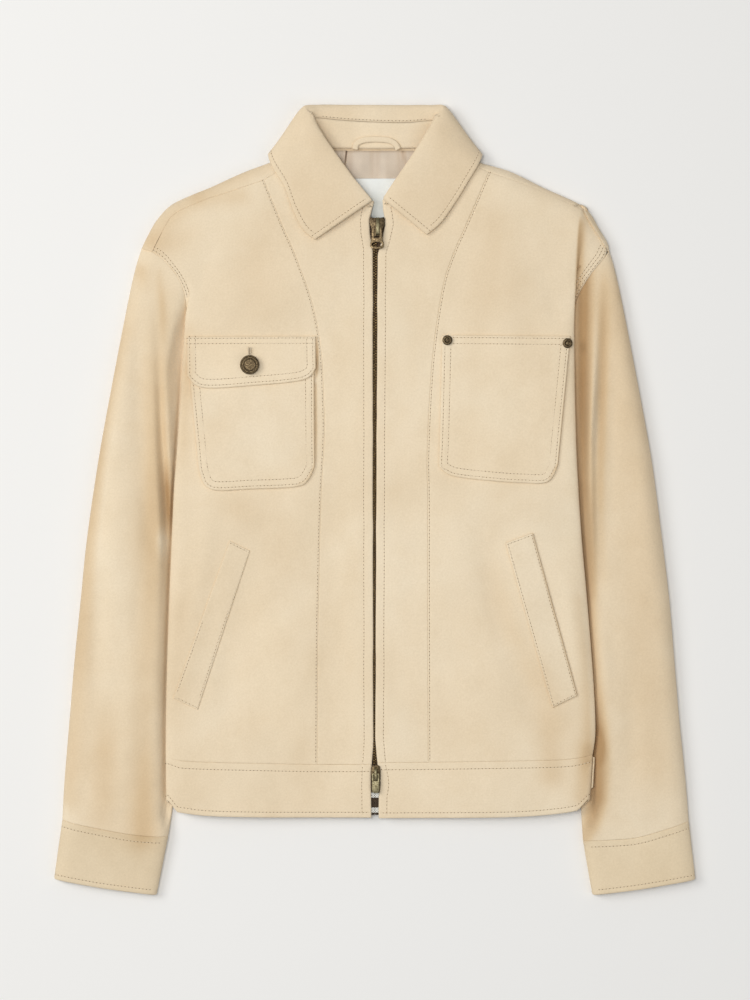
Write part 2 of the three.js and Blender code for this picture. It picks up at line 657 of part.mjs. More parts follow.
function ringRows(side, topLines, bottomLines, heightAt) {
  return topLines.map((line, j) => {
    const bottom = bottomLines[j];
    const over = TOP_SHARES.map((share) => {
      const [out, up] = pick(line, share);
      return place(side, out, up, heightAt(out, up, share, j));
    });
    const width = Math.hypot(line[0][0] - line.at(-1)[0], line[0][1] - line.at(-1)[1]);
    const under = BOTTOM_SHARES.map((share) => {
      const [out, up] = pick(bottom, share);
      const outer = SLEEVE.edge * (1 - roundOver((share * width) / BOTTOM_ROLL));
      const inner = SLEEVE.innerEdge * (1 - roundOver(((1 - share) * width) / 3));
      return place(side, out, up, outer + inner);
    });
    return over.concat(under);
  });
}

function armholeLine(side) {
  const seam = side.side.filter((row) => row[1] >= UNDERARM).reverse();
  const rows = seam.map((row) => {
    const flush = shoulderHeight(side, row[2], row[3]);
    const height = mix(flush, row[5] - 0.4, smooth(row[4] * 1.15));
    const [out, up] = [row[2] + 0.8 * ARMHOLE_SEAM, row[3] - 0.5 * ARMHOLE_SEAM];
    return [out, up, row[4] > 0.95 ? SLEEVE.tucked : height];
  });
  const [topOut, topUp] = side.silhouette.at(-1);
  return [[topOut + SEAM, topUp - 2 * SEAM, SLEEVE.edge], ...rows];
}

const SLEEVE_ROWS = 19;
const RING_COLUMNS = 12;

function sleeveGrid(side) {
  const seam = armholeLine(side);
  const outer = spaced(side.silhouette.slice(1, -1).concat([seam[0].slice(0, 2)]), SLEEVE_ROWS);
  const inner = spaced(side.innerSleeve, SLEEVE_ROWS);
  const cuff = spaced(side.cuffTop, RING_COLUMNS);
  const armhole = spaced(seam, RING_COLUMNS);
  const backArmhole = spaced(side.backArmhole.slice().reverse(), RING_COLUMNS)
    .map(([out, up]) => [out + SEAM, up]);
  for (const [line, row] of [[cuff, 0], [armhole, SLEEVE_ROWS], [backArmhole, SLEEVE_ROWS]]) {
    line[0] = [...outer[row].slice(0, 2), SLEEVE.edge];
    line[RING_COLUMNS] = [...inner[row].slice(0, 2), SLEEVE.tucked];
  }
  const topLines = patch(cuff, armhole, outer, inner);
  const bottomLines = patch(cuff, backArmhole, outer, inner);
  const rise = (j) => smooth((j / SLEEVE_ROWS - 0.8) / 0.2);
  return ringRows(side, topLines, bottomLines, (out, up, share, j) => {
    if (share === 0) return SLEEVE.edge;
    if (share === 1) return mix(SLEEVE.edge, SLEEVE.innerEdge, underBody(side, up));
    return mix(sleeveHeight(side, out, up), pick(armhole, share)[2], rise(j));
  });
}

function cuffGrid(side) {
  const top = spaced(side.cuffTop, RING_COLUMNS);
  const end = spaced(side.cuffEnd, RING_COLUMNS);
  const lines = [1, 0.9, 0.5, 0.08, 0].map((share) => top.map((row, i) => [
    mix(end[i][0], row[0], share),
    mix(end[i][1], row[1], share) - SEAM * (share === 1 ? 2 : 0),
  ]));
  return ringRows(side, lines, lines, (out, up, share, j) => {
    const line = lines[j];
    const fromOuter = share * (line[0][0] - line.at(-1)[0]);
    const fromInner = (1 - share) * (line[0][0] - line.at(-1)[0]);
    const round = Math.min(roundOver(fromOuter / SLEEVE.roll), roundOver(fromInner / SLEEVE.inner));
    return mix(SLEEVE.edge, readAt(SLEEVE_HEIGHTS, up), round);
  }).reverse();
}

// Collar: sections round the neck, each curve ending at the roll line with the section's lean
function collarSections() {
  const half = (rows, sign) => rows.map((row) => row.map((value, k) => {
    const outward = [COLLAR_COLUMNS.neck, COLLAR_COLUMNS.seam, COLLAR_COLUMNS.roll, COLLAR_COLUMNS.edge];
    return outward.includes(k) ? value * sign : value;
  }));
  const rows = half(RIGHT_COLLAR, -1).concat(half(LEFT_COLLAR, 1).reverse().slice(1));
  return spaced(rows, 36);
}

function collarCurves(section) {
  const corner = (start) => new THREE.Vector3(
    section[start],
    section[start + 1] - PLAN_MIDDLE,
    section[start + 2],
  );
  const { neck, seam, roll, edge, lean, reach } = COLLAR_COLUMNS;
  const [neckPoint, seamPoint, rollPoint, edgePoint] = [neck, seam, roll, edge].map(corner);
  const angle = degToRad(section[lean]);
  const outward = rollPoint.clone().sub(seamPoint).setZ(0);
  outward.lerp(edgePoint.clone().sub(rollPoint).setZ(0), angle > 0 ? 1 : 0).normalize();
  const heading = outward.multiplyScalar(Math.cos(angle)).setZ(Math.sin(angle));
  const leafRun = edgePoint.clone().sub(rollPoint);
  const into = new THREE.CubicBezierCurve3(
    seamPoint,
    seamPoint.clone().lerp(rollPoint, 0.35).setZ(seamPoint.z),
    rollPoint.clone().addScaledVector(heading, -section[reach]),
    rollPoint,
  );
  const down = new THREE.CubicBezierCurve3(
    rollPoint,
    rollPoint.clone().addScaledVector(heading, section[reach]),
    edgePoint.clone().addScaledVector(leafRun, -0.55).setZ(edgePoint.z + (section[lean] > 0 ? 1.5 : 0)),
    edgePoint,
  );
  return { neckPoint, seamPoint, into, down };
}

const LEAF_START = 0.12;
const LEAF_INTO = 3;
const LEAF_DOWN = [0.06, 0.14, 0.26, 0.45, 0.7, 1];

function leafGrid() {
  return collarSections().map((section) => {
    const { into, down } = collarCurves(section);
    const start = Array.from({ length: LEAF_INTO + 1 }, (_, k) => (
      into.getPoint(mix(LEAF_START, 1, k / LEAF_INTO))));
    const leaf = start.concat(LEAF_DOWN.map((share) => down.getPoint(share)));
    return leaf.map((point) => point.setZ(Math.max(point.z, 0)));
  });
}

function standGrid() {
  return collarSections().map((section) => {
    const { neckPoint, seamPoint } = collarCurves(section);
    return [0.02, 0.34, 0.66, 0.95].map((share) => neckPoint.clone().lerp(seamPoint, share));
  });
}

// Pieces that lie on the fronts
function onFront(side, out, up, lift) {
  return place(side, out, up, frontHeight(side, out, up) + lift);
}

function patchPiece(side, outline, liftAt, columns = 8, rows = 6) {
  const high = spaced(outline.top, columns);
  const low = spaced(outline.bottom, columns);
  const near = spaced([low[0], high[0]], rows);
  const far = spaced([low[columns], high[columns]], rows);
  return patch(low, high, near, far)
    .map((row) => row.map(([out, up]) => onFront(side, out, up, liftAt(up))));
}

function weltGrid(side, corners) {
  const steps = 6;
  const [topIn, topOut, lowOut, lowIn] = corners;
  return Array.from({ length: steps + 1 }, (_, j) => [0, 0.33, 0.67, 1].map((share) => {
    const t = j / steps;
    const out = mix(mix(lowIn[0], lowOut[0], share), mix(topIn[0], topOut[0], share), t);
    const up = mix(mix(lowIn[1], lowOut[1], share), mix(topIn[1], topOut[1], share), t);
    return onFront(side, out, up, WALL + ON_TOP);
  }));
}

function turnedDisc(profile, segments, point) {
  const geometry = new THREE.LatheGeometry(profile.map(([r, z]) => new THREE.Vector2(r, z)), segments);
  geometry.rotateX(Math.PI / 2);
  geometry.translate(point.x, point.y, point.z);
  return mergedShape(geometry);
}

function mergedShape(geometry) {
  geometry.deleteAttribute('normal');
  geometry.deleteAttribute('uv');
  return mergeVertices(geometry, 1e-3);
}

function buttonGeometry() {
  const { out, up, radius, height } = BUTTON;
  const rim = radius - 1.4;
  const profile = [
    [0, 0], [radius - 0.9, 0], [radius, 0.8], [radius, height - 1], [radius - 0.7, height],
    [rim, height], [rim - 0.6, height - 0.7], [2.4, height - 0.3], [0, height],
  ];
  return turnedDisc(profile, 28, onFront(RIGHT, out, up, 2 * (WALL + ON_TOP) + 0.5));
}

function rivetGeometry([out, up]) {
  const { radius, height } = RIVETS;
  const profile = [
    [0, 0], [radius - 0.3, 0], [radius, 0.5], [radius - 0.6, height - 0.2], [radius - 1.5, height],
    [1.6, height - 0.4], [0, height - 0.9],
  ];
  return turnedDisc(profile, 18, onFront(LEFT, out, up, WALL + ON_TOP + 0.5));
}

// Zip: tapes under the front edges, tooth rows between them, a slider at each end
const UNDER_FRONT = FRONT.zip - WALL - 0.3;

function boxBetween(x0, x1, up0, up1, z0, z1) {
  const geometry = new THREE.BoxGeometry(x1 - x0, up1 - up0, z1 - z0);
  geometry.translate((x0 + x1) / 2, (up0 + up1) / 2 - PLAN_MIDDLE, (z0 + z1) / 2);
  return mergedShape(geometry);
}

function zipTape(side) {
  const edges = [ZIP.gap + 0.1, ZIP.tape].map((value) => value * side.sign).sort((a, b) => a - b);
  return boxBetween(edges[0], edges[1], 3, 549, UNDER_FRONT - ZIP.tapeThick, UNDER_FRONT);
}

function toothRow(side) {
  const edges = [ZIP.teethIn, ZIP.teethOut].map((value) => value * side.sign).sort((a, b) => a - b);
  const top = FRONT.zip - 0.6;
  const [low, high] = [SLIDERS.bottom.end + 0.5, SLIDERS.top.start - 0.5];
  return boxBetween(edges[0], edges[1], low, high, top - ZIP.teethThick, top);
}

// hang is the pull's length below its axis; plate is the width of the slider's top plate
const SLIDERS = {
  top: { start: 524, end: 541.5, plate: 13, middle: 1.8, axisUp: 531, hang: 18.5, ring: 12.6, waist: 9 },
  bottom: { start: 33, end: 48, plate: 9, middle: 0.6, axisUp: 40, hang: 17, ring: 7.4, waist: 7.4 },
};
const PLATE = { bottom: FRONT.zip + 0.35, thick: 1.5, lower: 1.2 };
const BRIDGE = { width: 3.6, hole: 2.8, thick: 1.4, back: 6.5 };
const PULL_THICK = 1.5;
const AXIS_HEIGHT = PLATE.bottom + PLATE.thick + 1.35;

const wasm = await Module();
wasm.setup();

function solidOf(geometry) {
  const merged = mergedShape(geometry);
  return new wasm.Manifold(new wasm.Mesh({
    numProp: 3,
    vertProperties: new Float32Array(merged.attributes.position.array),
    triVerts: new Uint32Array(merged.index.array),
  }));
}

function geometryOf(solid) {
  const mesh = solid.getMesh();
  const geometry = new THREE.BufferGeometry();
  geometry.setAttribute('position', new THREE.BufferAttribute(new Float32Array(mesh.vertProperties), 3));
  geometry.setIndex(Array.from(mesh.triVerts));
  return geometry;
}

// Extrudes a side view, drawn along up and height, to a width either side of x
function sideView(shape, x, width) {
  const geometry = new THREE.ExtrudeGeometry(shape, { depth: width, bevelEnabled: false, curveSegments: 4 });
  geometry.translate(0, 0, -width / 2);
  const toPlace = new THREE.Matrix4().makeBasis(
    new THREE.Vector3(0, 1, 0), new THREE.Vector3(0, 0, 1), new THREE.Vector3(1, 0, 0),
  );
  geometry.applyMatrix4(toPlace);
  geometry.translate(x, -PLAN_MIDDLE, 0);
  return geometry;
}

function shapeFrom(points, holes = []) {
  const shape = new THREE.Shape(points.map(([a, b]) => new THREE.Vector2(a, b)));
  holes.forEach((hole) => shape.holes.push(new THREE.Path(hole.map(([a, b]) => new THREE.Vector2(a, b)))));
  return shape;
}

function sliderGeometry({ start, end, plate, middle, axisUp }) {
  const bevel = 0.4;
  const plateTop = PLATE.bottom + PLATE.thick;
  const body = new THREE.Shape();
  const [left, right] = [middle - plate / 2, middle + plate / 2];
  body.moveTo(left + 2, start);
  body.lineTo(right - 2, start);
  body.quadraticCurveTo(right, start + 1, right, end - 5);
  body.quadraticCurveTo(right, end - 1, right - 2.5, end);
  body.lineTo(left + 2.5, end);
  body.quadraticCurveTo(left, end - 1, left, end - 5);
  body.quadraticCurveTo(left, start + 1, left + 2, start);
  const plateShape = new THREE.ExtrudeGeometry(body, {
    depth: PLATE.thick - bevel, bevelEnabled: true, bevelSize: bevel, bevelThickness: bevel / 2,
    bevelOffset: -bevel, bevelSegments: 1, curveSegments: 4,
  });
  plateShape.translate(0, -PLAN_MIDDLE, PLATE.bottom + bevel / 2);
  const lowest = UNDER_FRONT - ZIP.tapeThick - 0.3 - PLATE.lower;
  const core = boxBetween(-ZIP.gap + 0.35, ZIP.gap - 0.35, start + 0.4, end - 2, lowest + 0.2, plateTop - 0.3);
  const under = boxBetween(-4, 4, start + 1, end - 2, lowest, lowest + PLATE.lower);
  const top = plateTop + BRIDGE.hole;
  const arch = shapeFrom([
    [start + 0.6, plateTop - 0.3], [start + 1.6, top + 0.6], [start + 3.4, top + BRIDGE.thick],
    [axisUp + 2, top + BRIDGE.thick], [axisUp + 4.5, top - 0.2], [axisUp + BRIDGE.back + 1.5, plateTop - 0.3],
  ], [[
    [start + 2.6, plateTop], [axisUp + 3.6, plateTop], [axisUp + 2.4, top - 0.5], [axisUp + 1.4, top],
    [start + 4, top], [start + 2.8, top - 1],
  ]]);
  const bridge = sideView(arch, middle, BRIDGE.width);
  return geometryOf(solidOf(plateShape).add(solidOf(core)).add(solidOf(under)).add(solidOf(bridge)));
}

// The pull hangs from a bar through the bridge; its loop straddles the bridge
function pullGeometry({ start, middle, axisUp, hang, ring, waist }) {
  const shape = new THREE.Shape();
  const [half, wide] = [waist / 2, ring / 2];
  const [barTop, low] = [axisUp + 0.85, axisUp - hang];
  shape.moveTo(middle - half + 0.8, barTop);
  shape.lineTo(middle - half, barTop - 0.8);
  shape.lineTo(middle - half, start - 2.5);
  shape.quadraticCurveTo(middle - wide, start - 3, middle - wide, low + 4);
  shape.quadraticCurveTo(middle - wide, low, middle - wide + 3, low);
  shape.lineTo(middle + wide - 3, low);
  shape.quadraticCurveTo(middle + wide, low, middle + wide, low + 4);
  shape.quadraticCurveTo(middle + wide, start - 3, middle + half, start - 2.5);
  shape.lineTo(middle + half, barTop - 0.8);
  shape.lineTo(middle + half - 0.8, barTop);
  shape.closePath();
  const loop = BRIDGE.width / 2 + 0.45;
  const loopHole = [
    [middle - loop, start - 1], [middle - loop, axisUp - 0.75], [middle + loop, axisUp - 0.75],
    [middle + loop, start - 1],
  ];
  const eye = Math.max(wide - 1.7, 1.9);
  const eyeHole = [
    [middle - eye, low + 2], [middle - eye, low + 5], [middle - eye + 1, low + 6.2],
    [middle + eye - 1, low + 6.2], [middle + eye, low + 5], [middle + eye, low + 2],
    [middle + eye - 0.8, low + 1.5], [middle - eye + 0.8, low + 1.5],
  ];
  [loopHole, eyeHole].forEach((hole) => {
    shape.holes.push(new THREE.Path(hole.map(([a, b]) => new THREE.Vector2(a, b))));
  });
  const geometry = new THREE.ExtrudeGeometry(shape, {
    depth: PULL_THICK, bevelEnabled: false, curveSegments: 4,
  });
  geometry.translate(0, -PLAN_MIDDLE, AXIS_HEIGHT - PULL_THICK / 2);
  return mergedShape(geometry);
}

// Inside the neck, as far as it shows
const LINING = { top: 601.6, bottom: 512, halfWidth: 72, thick: 1 };

function liningGrid() {
  const [rows, columns] = [8, 10];
  return Array.from({ length: rows + 1 }, (_, j) => Array.from({ length: columns + 1 }, (_unused, i) => {
    const up = mix(LINING.bottom, LINING.top, j / rows);
    const x = mix(-LINING.halfWidth, LINING.halfWidth, i / columns) * mix(1, 0.8, j / rows);
    return new THREE.Vector3(x, up - PLAN_MIDDLE, liningHeight(up));
  }));
}

const liningHeight = (up) => Math.max(yokeFloor(up), yokeFloor(up + 12)) + WALL + 0.35 + LINING.thick;

function labelGrid() {
  return Array.from({ length: 5 }, (_, j) => [-22, 0, 22].map((x) => {
    const up = mix(528, 576.5, j / 4);
    return new THREE.Vector3(x, up - PLAN_MIDDLE, liningHeight(up) + 1.3);
  }));
}

const HANGER_LOOP = [
  [-15.5, 602.8], [-14.6, 607], [-10.5, 610.8], [-2, 611.4], [8, 611], [15, 608.6], [19, 603],
];

function loopGrid() {
  const line = spaced(HANGER_LOOP, 14);
  return line.map(([x, up], i) => {
    const [a, b] = [line[Math.max(i - 1, 0)], line[Math.min(i + 1, line.length - 1)]];
    const run = Math.hypot(b[0] - a[0], b[1] - a[1]);
    const [nx, ny] = [-(b[1] - a[1]) / run, (b[0] - a[0]) / run];
    return [2.2, -2.2].map((offset) => {
      const y = up + ny * offset;
      const standUnder = mix(4.4, 9, clamp((y - 603) / 24, 0, 1));
      return new THREE.Vector3(x + nx * offset, y - PLAN_MIDDLE, standUnder + 0.6 + 1.2);
    });
  });
}

// Side tab on the waistband, made from the band's own fold moved outwards
const TAB_SHARES = [0.3, 0.42, 0.54, 0.66, 0.78];
const TAB_DIRECTIONS = [[0.45, 0.9], [1, 0.1], [0.85, -0.5]];

function sideTab(side) {
  const band = bandGrid(side);
  const last = band[0].length;
  return TAB_SHARES.map((share) => TAB_DIRECTIONS.map(([outward, upward], k) => {
    const column = last - 6 + k;
    return band[0][column].clone().lerp(band[3][column], share)
      .add(new THREE.Vector3(side.sign * outward, 0, upward).multiplyScalar(WALL + ON_TOP));
  }));
}

// Assembly
const jacket = new THREE.Group();

function addPiece(name, geometry, finish) {
  const mesh = new THREE.Mesh(geometry, new THREE.MeshStandardMaterial(finish));
  mesh.name = name;
  jacket.add(mesh);
}

const grids = [RIGHT, LEFT].map((side) => ({ side, centre: centreGrid(side), front: sideGrid(side) }));
for (const { side, centre, front } of grids) {
  const tuck = facing(side);
  const centreRows = facedAlongTop(side, drawnIn(centre), NECK_COLUMNS);
  addPiece(`front_centre_${side.name}`, sheet(centreRows, WALL, tuck), SUEDE);
  addPiece(`front_side_${side.name}`, sheet(facedAlongTop(side, drawnIn(front)), WALL, tuck), SUEDE);
  const bandRows = drawnIn(bandGrid(side), { low: false });
  addPiece(`waistband_front_${side.name}`, sheet(bandRows, WALL, tuck), SUEDE);
  addPiece(`sleeve_${side.name}`, sheet(sleeveGrid(side), SLEEVE_WALL,
    { turned: side.sign > 0, closed: true }), SUEDE);
  addPiece(`cuff_${side.name}`, sheet(cuffGrid(side), SLEEVE_WALL,
    { turned: side.sign > 0, closed: true }), SUEDE_SHADE);
  addPiece(`zip_tape_${side.name}`, zipTape(side), TAPE);
  addPiece(`zip_teeth_${side.name}`, toothRow(side), DARK_BRASS);
}
addPiece('yoke', yokeGeometry(grids), SUEDE);
addPiece('back_panel', sheet(drawnIn(backGrid(), { near: false, far: false }), WALL, { turned: true }), SUEDE);
addPiece('waistband_back', sheet(drawnIn(backBandGrid(), { low: false, near: false, far: false }), WALL,
  { turned: true }), SUEDE);
addPiece('side_tab_left', sheet(sideTab(LEFT), WALL, { turned: false }), SUEDE);

addPiece('collar_leaf', sheet(leafGrid(), WALL, { turned: true }), SUEDE);
addPiece('collar_stand', sheet(standGrid(), WALL, { turned: true }), SUEDE_SHADE);
addPiece('back_lining', sheet(liningGrid(), LINING.thick), SATIN);
addPiece('neck_label', sheet(labelGrid(), 0.9), LABEL);
addPiece('hanger_loop', sheet(loopGrid(), 1.2), SUEDE);

const single = () => WALL + ON_TOP;
addPiece('chest_pocket', sheet(patchPiece(RIGHT, FLAP_POCKET, single), WALL, facing(RIGHT)), SUEDE);
addPiece('chest_flap', sheet(patchPiece(RIGHT, FLAP, (up) => mix(2, 1,
  smooth((up - POCKET_UNDER_FLAP) / 14)) * single(), 9, 5), WALL, facing(RIGHT)), SUEDE);
addPiece('open_pocket', sheet(patchPiece(LEFT, OPEN_POCKET, single), WALL, facing(LEFT)), SUEDE);
addPiece('welt_right', sheet(weltGrid(RIGHT, RIGHT_WELT), WALL, facing(RIGHT)), SUEDE);
addPiece('welt_left', sheet(weltGrid(LEFT, LEFT_WELT), WALL, facing(LEFT)), SUEDE);
addPiece('flap_button', buttonGeometry(), DARK_BRASS);
RIVETS.places.forEach((spot, k) => addPiece(`pocket_rivet_${k + 1}`, rivetGeometry(spot), DARK_BRASS));
for (const [name, slider] of Object.entries(SLIDERS)) {
  addPiece(`${name}_slider`, sliderGeometry(slider), BRASS);
  addPiece(`${name}_pull`, pullGeometry(slider), BRASS);
}

export default jacket;
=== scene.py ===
"""Looks of a suede blouson laid out flat on its back, zip closed.

Millimetres on the cutting plan, as in the part's own source: out is the distance from the zip line,
up the height above the hem's lowest point. Meshes are written in metres.
"""

import json
import math

import bpy
import numpy as np
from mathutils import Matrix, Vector

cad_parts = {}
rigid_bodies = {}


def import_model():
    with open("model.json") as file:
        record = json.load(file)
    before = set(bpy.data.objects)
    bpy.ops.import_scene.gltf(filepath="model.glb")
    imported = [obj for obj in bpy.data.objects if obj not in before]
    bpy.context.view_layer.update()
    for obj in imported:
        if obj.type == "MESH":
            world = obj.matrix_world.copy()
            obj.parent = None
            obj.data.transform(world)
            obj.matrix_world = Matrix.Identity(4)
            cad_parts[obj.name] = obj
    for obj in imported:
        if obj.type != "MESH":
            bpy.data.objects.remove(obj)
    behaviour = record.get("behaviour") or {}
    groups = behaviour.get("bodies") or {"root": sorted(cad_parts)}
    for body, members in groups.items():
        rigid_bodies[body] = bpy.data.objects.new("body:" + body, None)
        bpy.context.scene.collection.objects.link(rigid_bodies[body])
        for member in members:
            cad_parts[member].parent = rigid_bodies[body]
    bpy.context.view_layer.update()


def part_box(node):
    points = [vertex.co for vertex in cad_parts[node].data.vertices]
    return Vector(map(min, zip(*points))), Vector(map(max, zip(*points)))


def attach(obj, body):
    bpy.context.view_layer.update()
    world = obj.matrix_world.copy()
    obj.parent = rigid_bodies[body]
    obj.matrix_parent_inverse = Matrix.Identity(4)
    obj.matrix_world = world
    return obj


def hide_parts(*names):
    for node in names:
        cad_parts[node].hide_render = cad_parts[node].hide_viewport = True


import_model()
for node in bpy.data.objects:
    node.select_set(False)

MM = 0.001
COLLAR_TOP = 643
CUFF_LOW = 69.7              # below the hem
PLAN_MIDDLE = (COLLAR_TOP - CUFF_LOW) / 2
WALL = 1.8
SLEEVE_WALL = 1.6
RIGHT_WELT_WALL = 1.0
LABEL_WALL = 0.9
LOOP_WALL = 1.2
TAPE_WALL = 1
SEAM = 0.04                  # the shells meet closer than the solids, as sewn pieces do
ON_TOP = 0.6                 # space under a piece that lies on another
ARMHOLE_SEAM = 0.15          # closer than in the solids too
TURNED_SEAM = 1.6            # space where a turned wall stands against a flat one
NECK_SEAM_UP = 602
JOINED, FREE = 0.34, 0.95    # how far an edge is rounded off: sewn to another piece, or free
# Heights of the cloth's face above the surface, and how far in from an edge it takes to round over
FRONT = dict(zip=11, side=14.5, fold=11, crown_share=0.7, fold_roll=9)
RIDGE = dict(height=4.8, roll=17)
SLEEVE = dict(edge=5, roll=15, tucked=4.4, inner=12, inner_edge=2.4)
WRAP = dict(turn=3.6, drop=3.8, flat_in=14, flat_height=6.2, low_in=21, low_height=2.2)
BACK_SEAM = 478
YOKE_LIFT = (550, 574, 2.7)  # between these levels the yoke leaves the surface, to this height
NECK_START = (70, 601)
UNDERARM = 350

# The body's side, a row per station from hem to shoulder:
# fold line out, up; seam behind it out, up; how far it is turned under; height of that seam
RIGHT_SIDE = [
    [188.5, 55.5, 161.5, 52, 1, 0], [188, 106.5, 161, 106, 1, 0], [186, 178.5, 160, 178, 1, 0],
    [181.5, 286.5, 158, 286, 1, 0], [179.3, 318, 159.5, 318, 1, 0.6], [177, 350, 165, 351, 1, 5],
    [174.5, 388, 167.4, 390, 1, 5], [172, 430.5, 168.6, 430, 1, 5], [170.5, 453, 169.5, 452, 0.72, 6],
    [167, 471, 171.8, 473, 0.25, 8], [167, 487, 179, 489.5, 0, 8], [174, 502, 188, 500, 0, 8],
    [182.5, 520, 194.8, 506, 0, 8], [190, 531, 200.5, 509.6, 0, 8],
]
LEFT_SIDE = [
    [196, 57, 169, 54, 1, 0], [198.5, 80, 171, 80, 1, 0], [196.5, 126, 169, 126, 1, 0],
    [191, 196.5, 164, 196, 1, 0], [185.5, 260, 160, 260, 1, 0], [182, 318, 160, 318, 1, 0.6],
    [180.8, 350, 167.5, 351, 1, 5], [180, 388, 171, 390, 1, 5], [179.5, 425, 175, 428, 1, 5],
    [179.6, 452, 179.5, 460, 0.8, 6], [181, 480, 189.5, 482, 0.5, 6], [182.6, 507, 200, 496.5, 0.34, 6],
    [184.5, 530, 206.6, 504.5, 0.2, 6], [186.5, 548.5, 209.2, 511.6, 0, 6],
]
RIGHT = dict(
    name="right", sign=-1, side=RIGHT_SIDE,
    silhouette=[
        [289.5, -55], [282, -1.5], [280, 34.5], [275.5, 88.5], [271, 142.5], [265.5, 196.5], [260, 250.5],
        [249.5, 322.5], [236.5, 394.5], [222.5, 466.5], [216, 495.5], [210.5, 513.5],
    ],
    ridge=[
        [210.5, 513.5], [204.5, 526], [196.5, 539.5], [184, 552.5], [165.5, 561.5], [147, 569],
        [119.5, 581.5], [93, 591.5], NECK_START,
    ],
    top_inset=(-6, 10),
    yoke_seam=[[184, 541], [175, 547.5], [152, 557.5], [131, 564], [119.5, 568], [100, 574.5]],
    yoke_to_neck=[[100, 574.5], [91, 580.5], [73, 591]],
    neckline=[[73, 591], [51, 576], [27, 559.5], [1.6, 556]],
    princess=[
        [52, 48.5], [51.5, 149], [50.5, 206.5], [48.5, 286], [45.5, 343], [46, 377.5], [48.5, 421.5],
        [56.5, 464], [71.5, 506.5], [82, 530.5], [91, 552.5], [100, 574.5],
    ],
    inner=[
        [186.5, -16.5], [183, 6], [181.5, 25.5], [179.5, 88.5], [179, 160.5], [179, 286.5], [174, 325],
        [166.2, 352],
    ],
    back_armhole=[[166.2, 352], [172, 400], [180, 440], [190, 470], [201, 498], [210.5, 513.5]],
    cuff_top=[[282, -1.5], [265, -6], [223.5, -14], [197.5, -16.5], [186.5, -16.5]],
    cuff_end=[[289.5, -55], [246.5, -63], [197, -69.5]],
    band_top=[[2.3, 48.5], [52, 48.5], [99, 49.5], [168.5, 51.5], [188.5, 55.5]],
    hem=[[2.3, 0.5], [52, 0.8], [102, 1], [145, 2], [166.5, 4], [182.5, 7.5], [188, 15]],
    hem_seam=(161.5, 4),
)
LEFT = dict(
    name="left", sign=1, side=LEFT_SIDE,
    silhouette=[
        [289.5, -55], [283, -3], [280, 34.5], [274.5, 88.5], [270, 142.5], [265.5, 196.5], [259, 250.5],
        [249.5, 322.5], [236.5, 394.5], [222.5, 466.5], [216, 495.5], [211.5, 510.5],
    ],
    ridge=[
        [211.5, 510.5], [209.5, 519], [202.5, 530.5], [194, 545], [182, 554.5], [152, 568],
        [122, 582.5], [94, 591], NECK_START,
    ],
    top_inset=(-9, 4.4),
    yoke_seam=[[177.5, 552.9], [158, 562], [130, 573], [102.5, 582]],
    yoke_to_neck=[[102.5, 582], [93, 586.5], [73, 592.5]],
    neckline=[[73, 592.5], [51, 576], [27, 560], [6.8, 557]],
    princess=[
        [48, 50.5], [47.5, 196.5], [47.5, 286], [47, 325.5], [49.5, 384], [53.5, 429.5], [61.5, 480],
        [71, 509], [82, 534], [93, 559.5], [102.5, 582],
    ],
    inner=[
        [187.5, -20.5], [186, 7.5], [185.5, 34.5], [184, 106.5], [180, 196.5], [175.5, 286.5],
        [172.5, 325], [168.8, 352],
    ],
    back_armhole=[[168.8, 352], [174, 400], [181, 440], [190, 470], [202, 497], [211.5, 510.5]],
    cuff_top=[[283, -3], [258.5, -11], [231, -18], [187.5, -20.5]],
    cuff_end=[[289, -55.5], [240, -64], [196, -69.5]],
    band_top=[[2.3, 50], [48, 50.5], [105, 51.5], [169.5, 53], [196, 57]],
    hem=[[2.3, 0], [48, 0.3], [81, 0.5], [129, 1.5], [161.5, 4], [184, 8], [193.5, 16]],
    hem_seam=(167, 4),
)

# Largest folds, as in the solids: out, up, out, up, half width, lift
BODY_FOLDS = dict(
    right=[
        [150, 262, 172, 120, 10, 1.5], [110, 250, 128, 70, 16, -1.2], [60, 330, 70, 200, 18, 0.8],
        [120, 475, 150, 435, 12, 1.0],
    ],
    left=[
        [96, 250, 118, 150, 12, -2.2], [118, 150, 152, 80, 12, -1.8], [172, 236, 186, 120, 8, 1.4],
        [150, 500, 166, 446, 9, -1.2],
    ],
)
SLEEVE_FOLDS = dict(
    right=[
        [215, 470, 208, 300, 9, -2.6], [208, 300, 202, 240, 8, -2.2], [236, 380, 232, 180, 14, 1.6],
        [250, 210, 262, 70, 12, -1.6], [222, 120, 226, 20, 12, 1.6],
    ],
    left=[
        [202, 497, 193, 327, 6, 2.4], [193, 327, 195.5, 120, 6, 2.0], [215, 440, 210, 250, 8, -2.4],
        [238, 330, 246, 160, 13, 1.4], [228, 150, 232, 20, 11, -1.8],
    ],
)
SLEEVE_HEIGHTS = [[11.5, -70], [12.5, -10], [14.5, 60], [16, 250], [16, 400], [14.5, 515]]

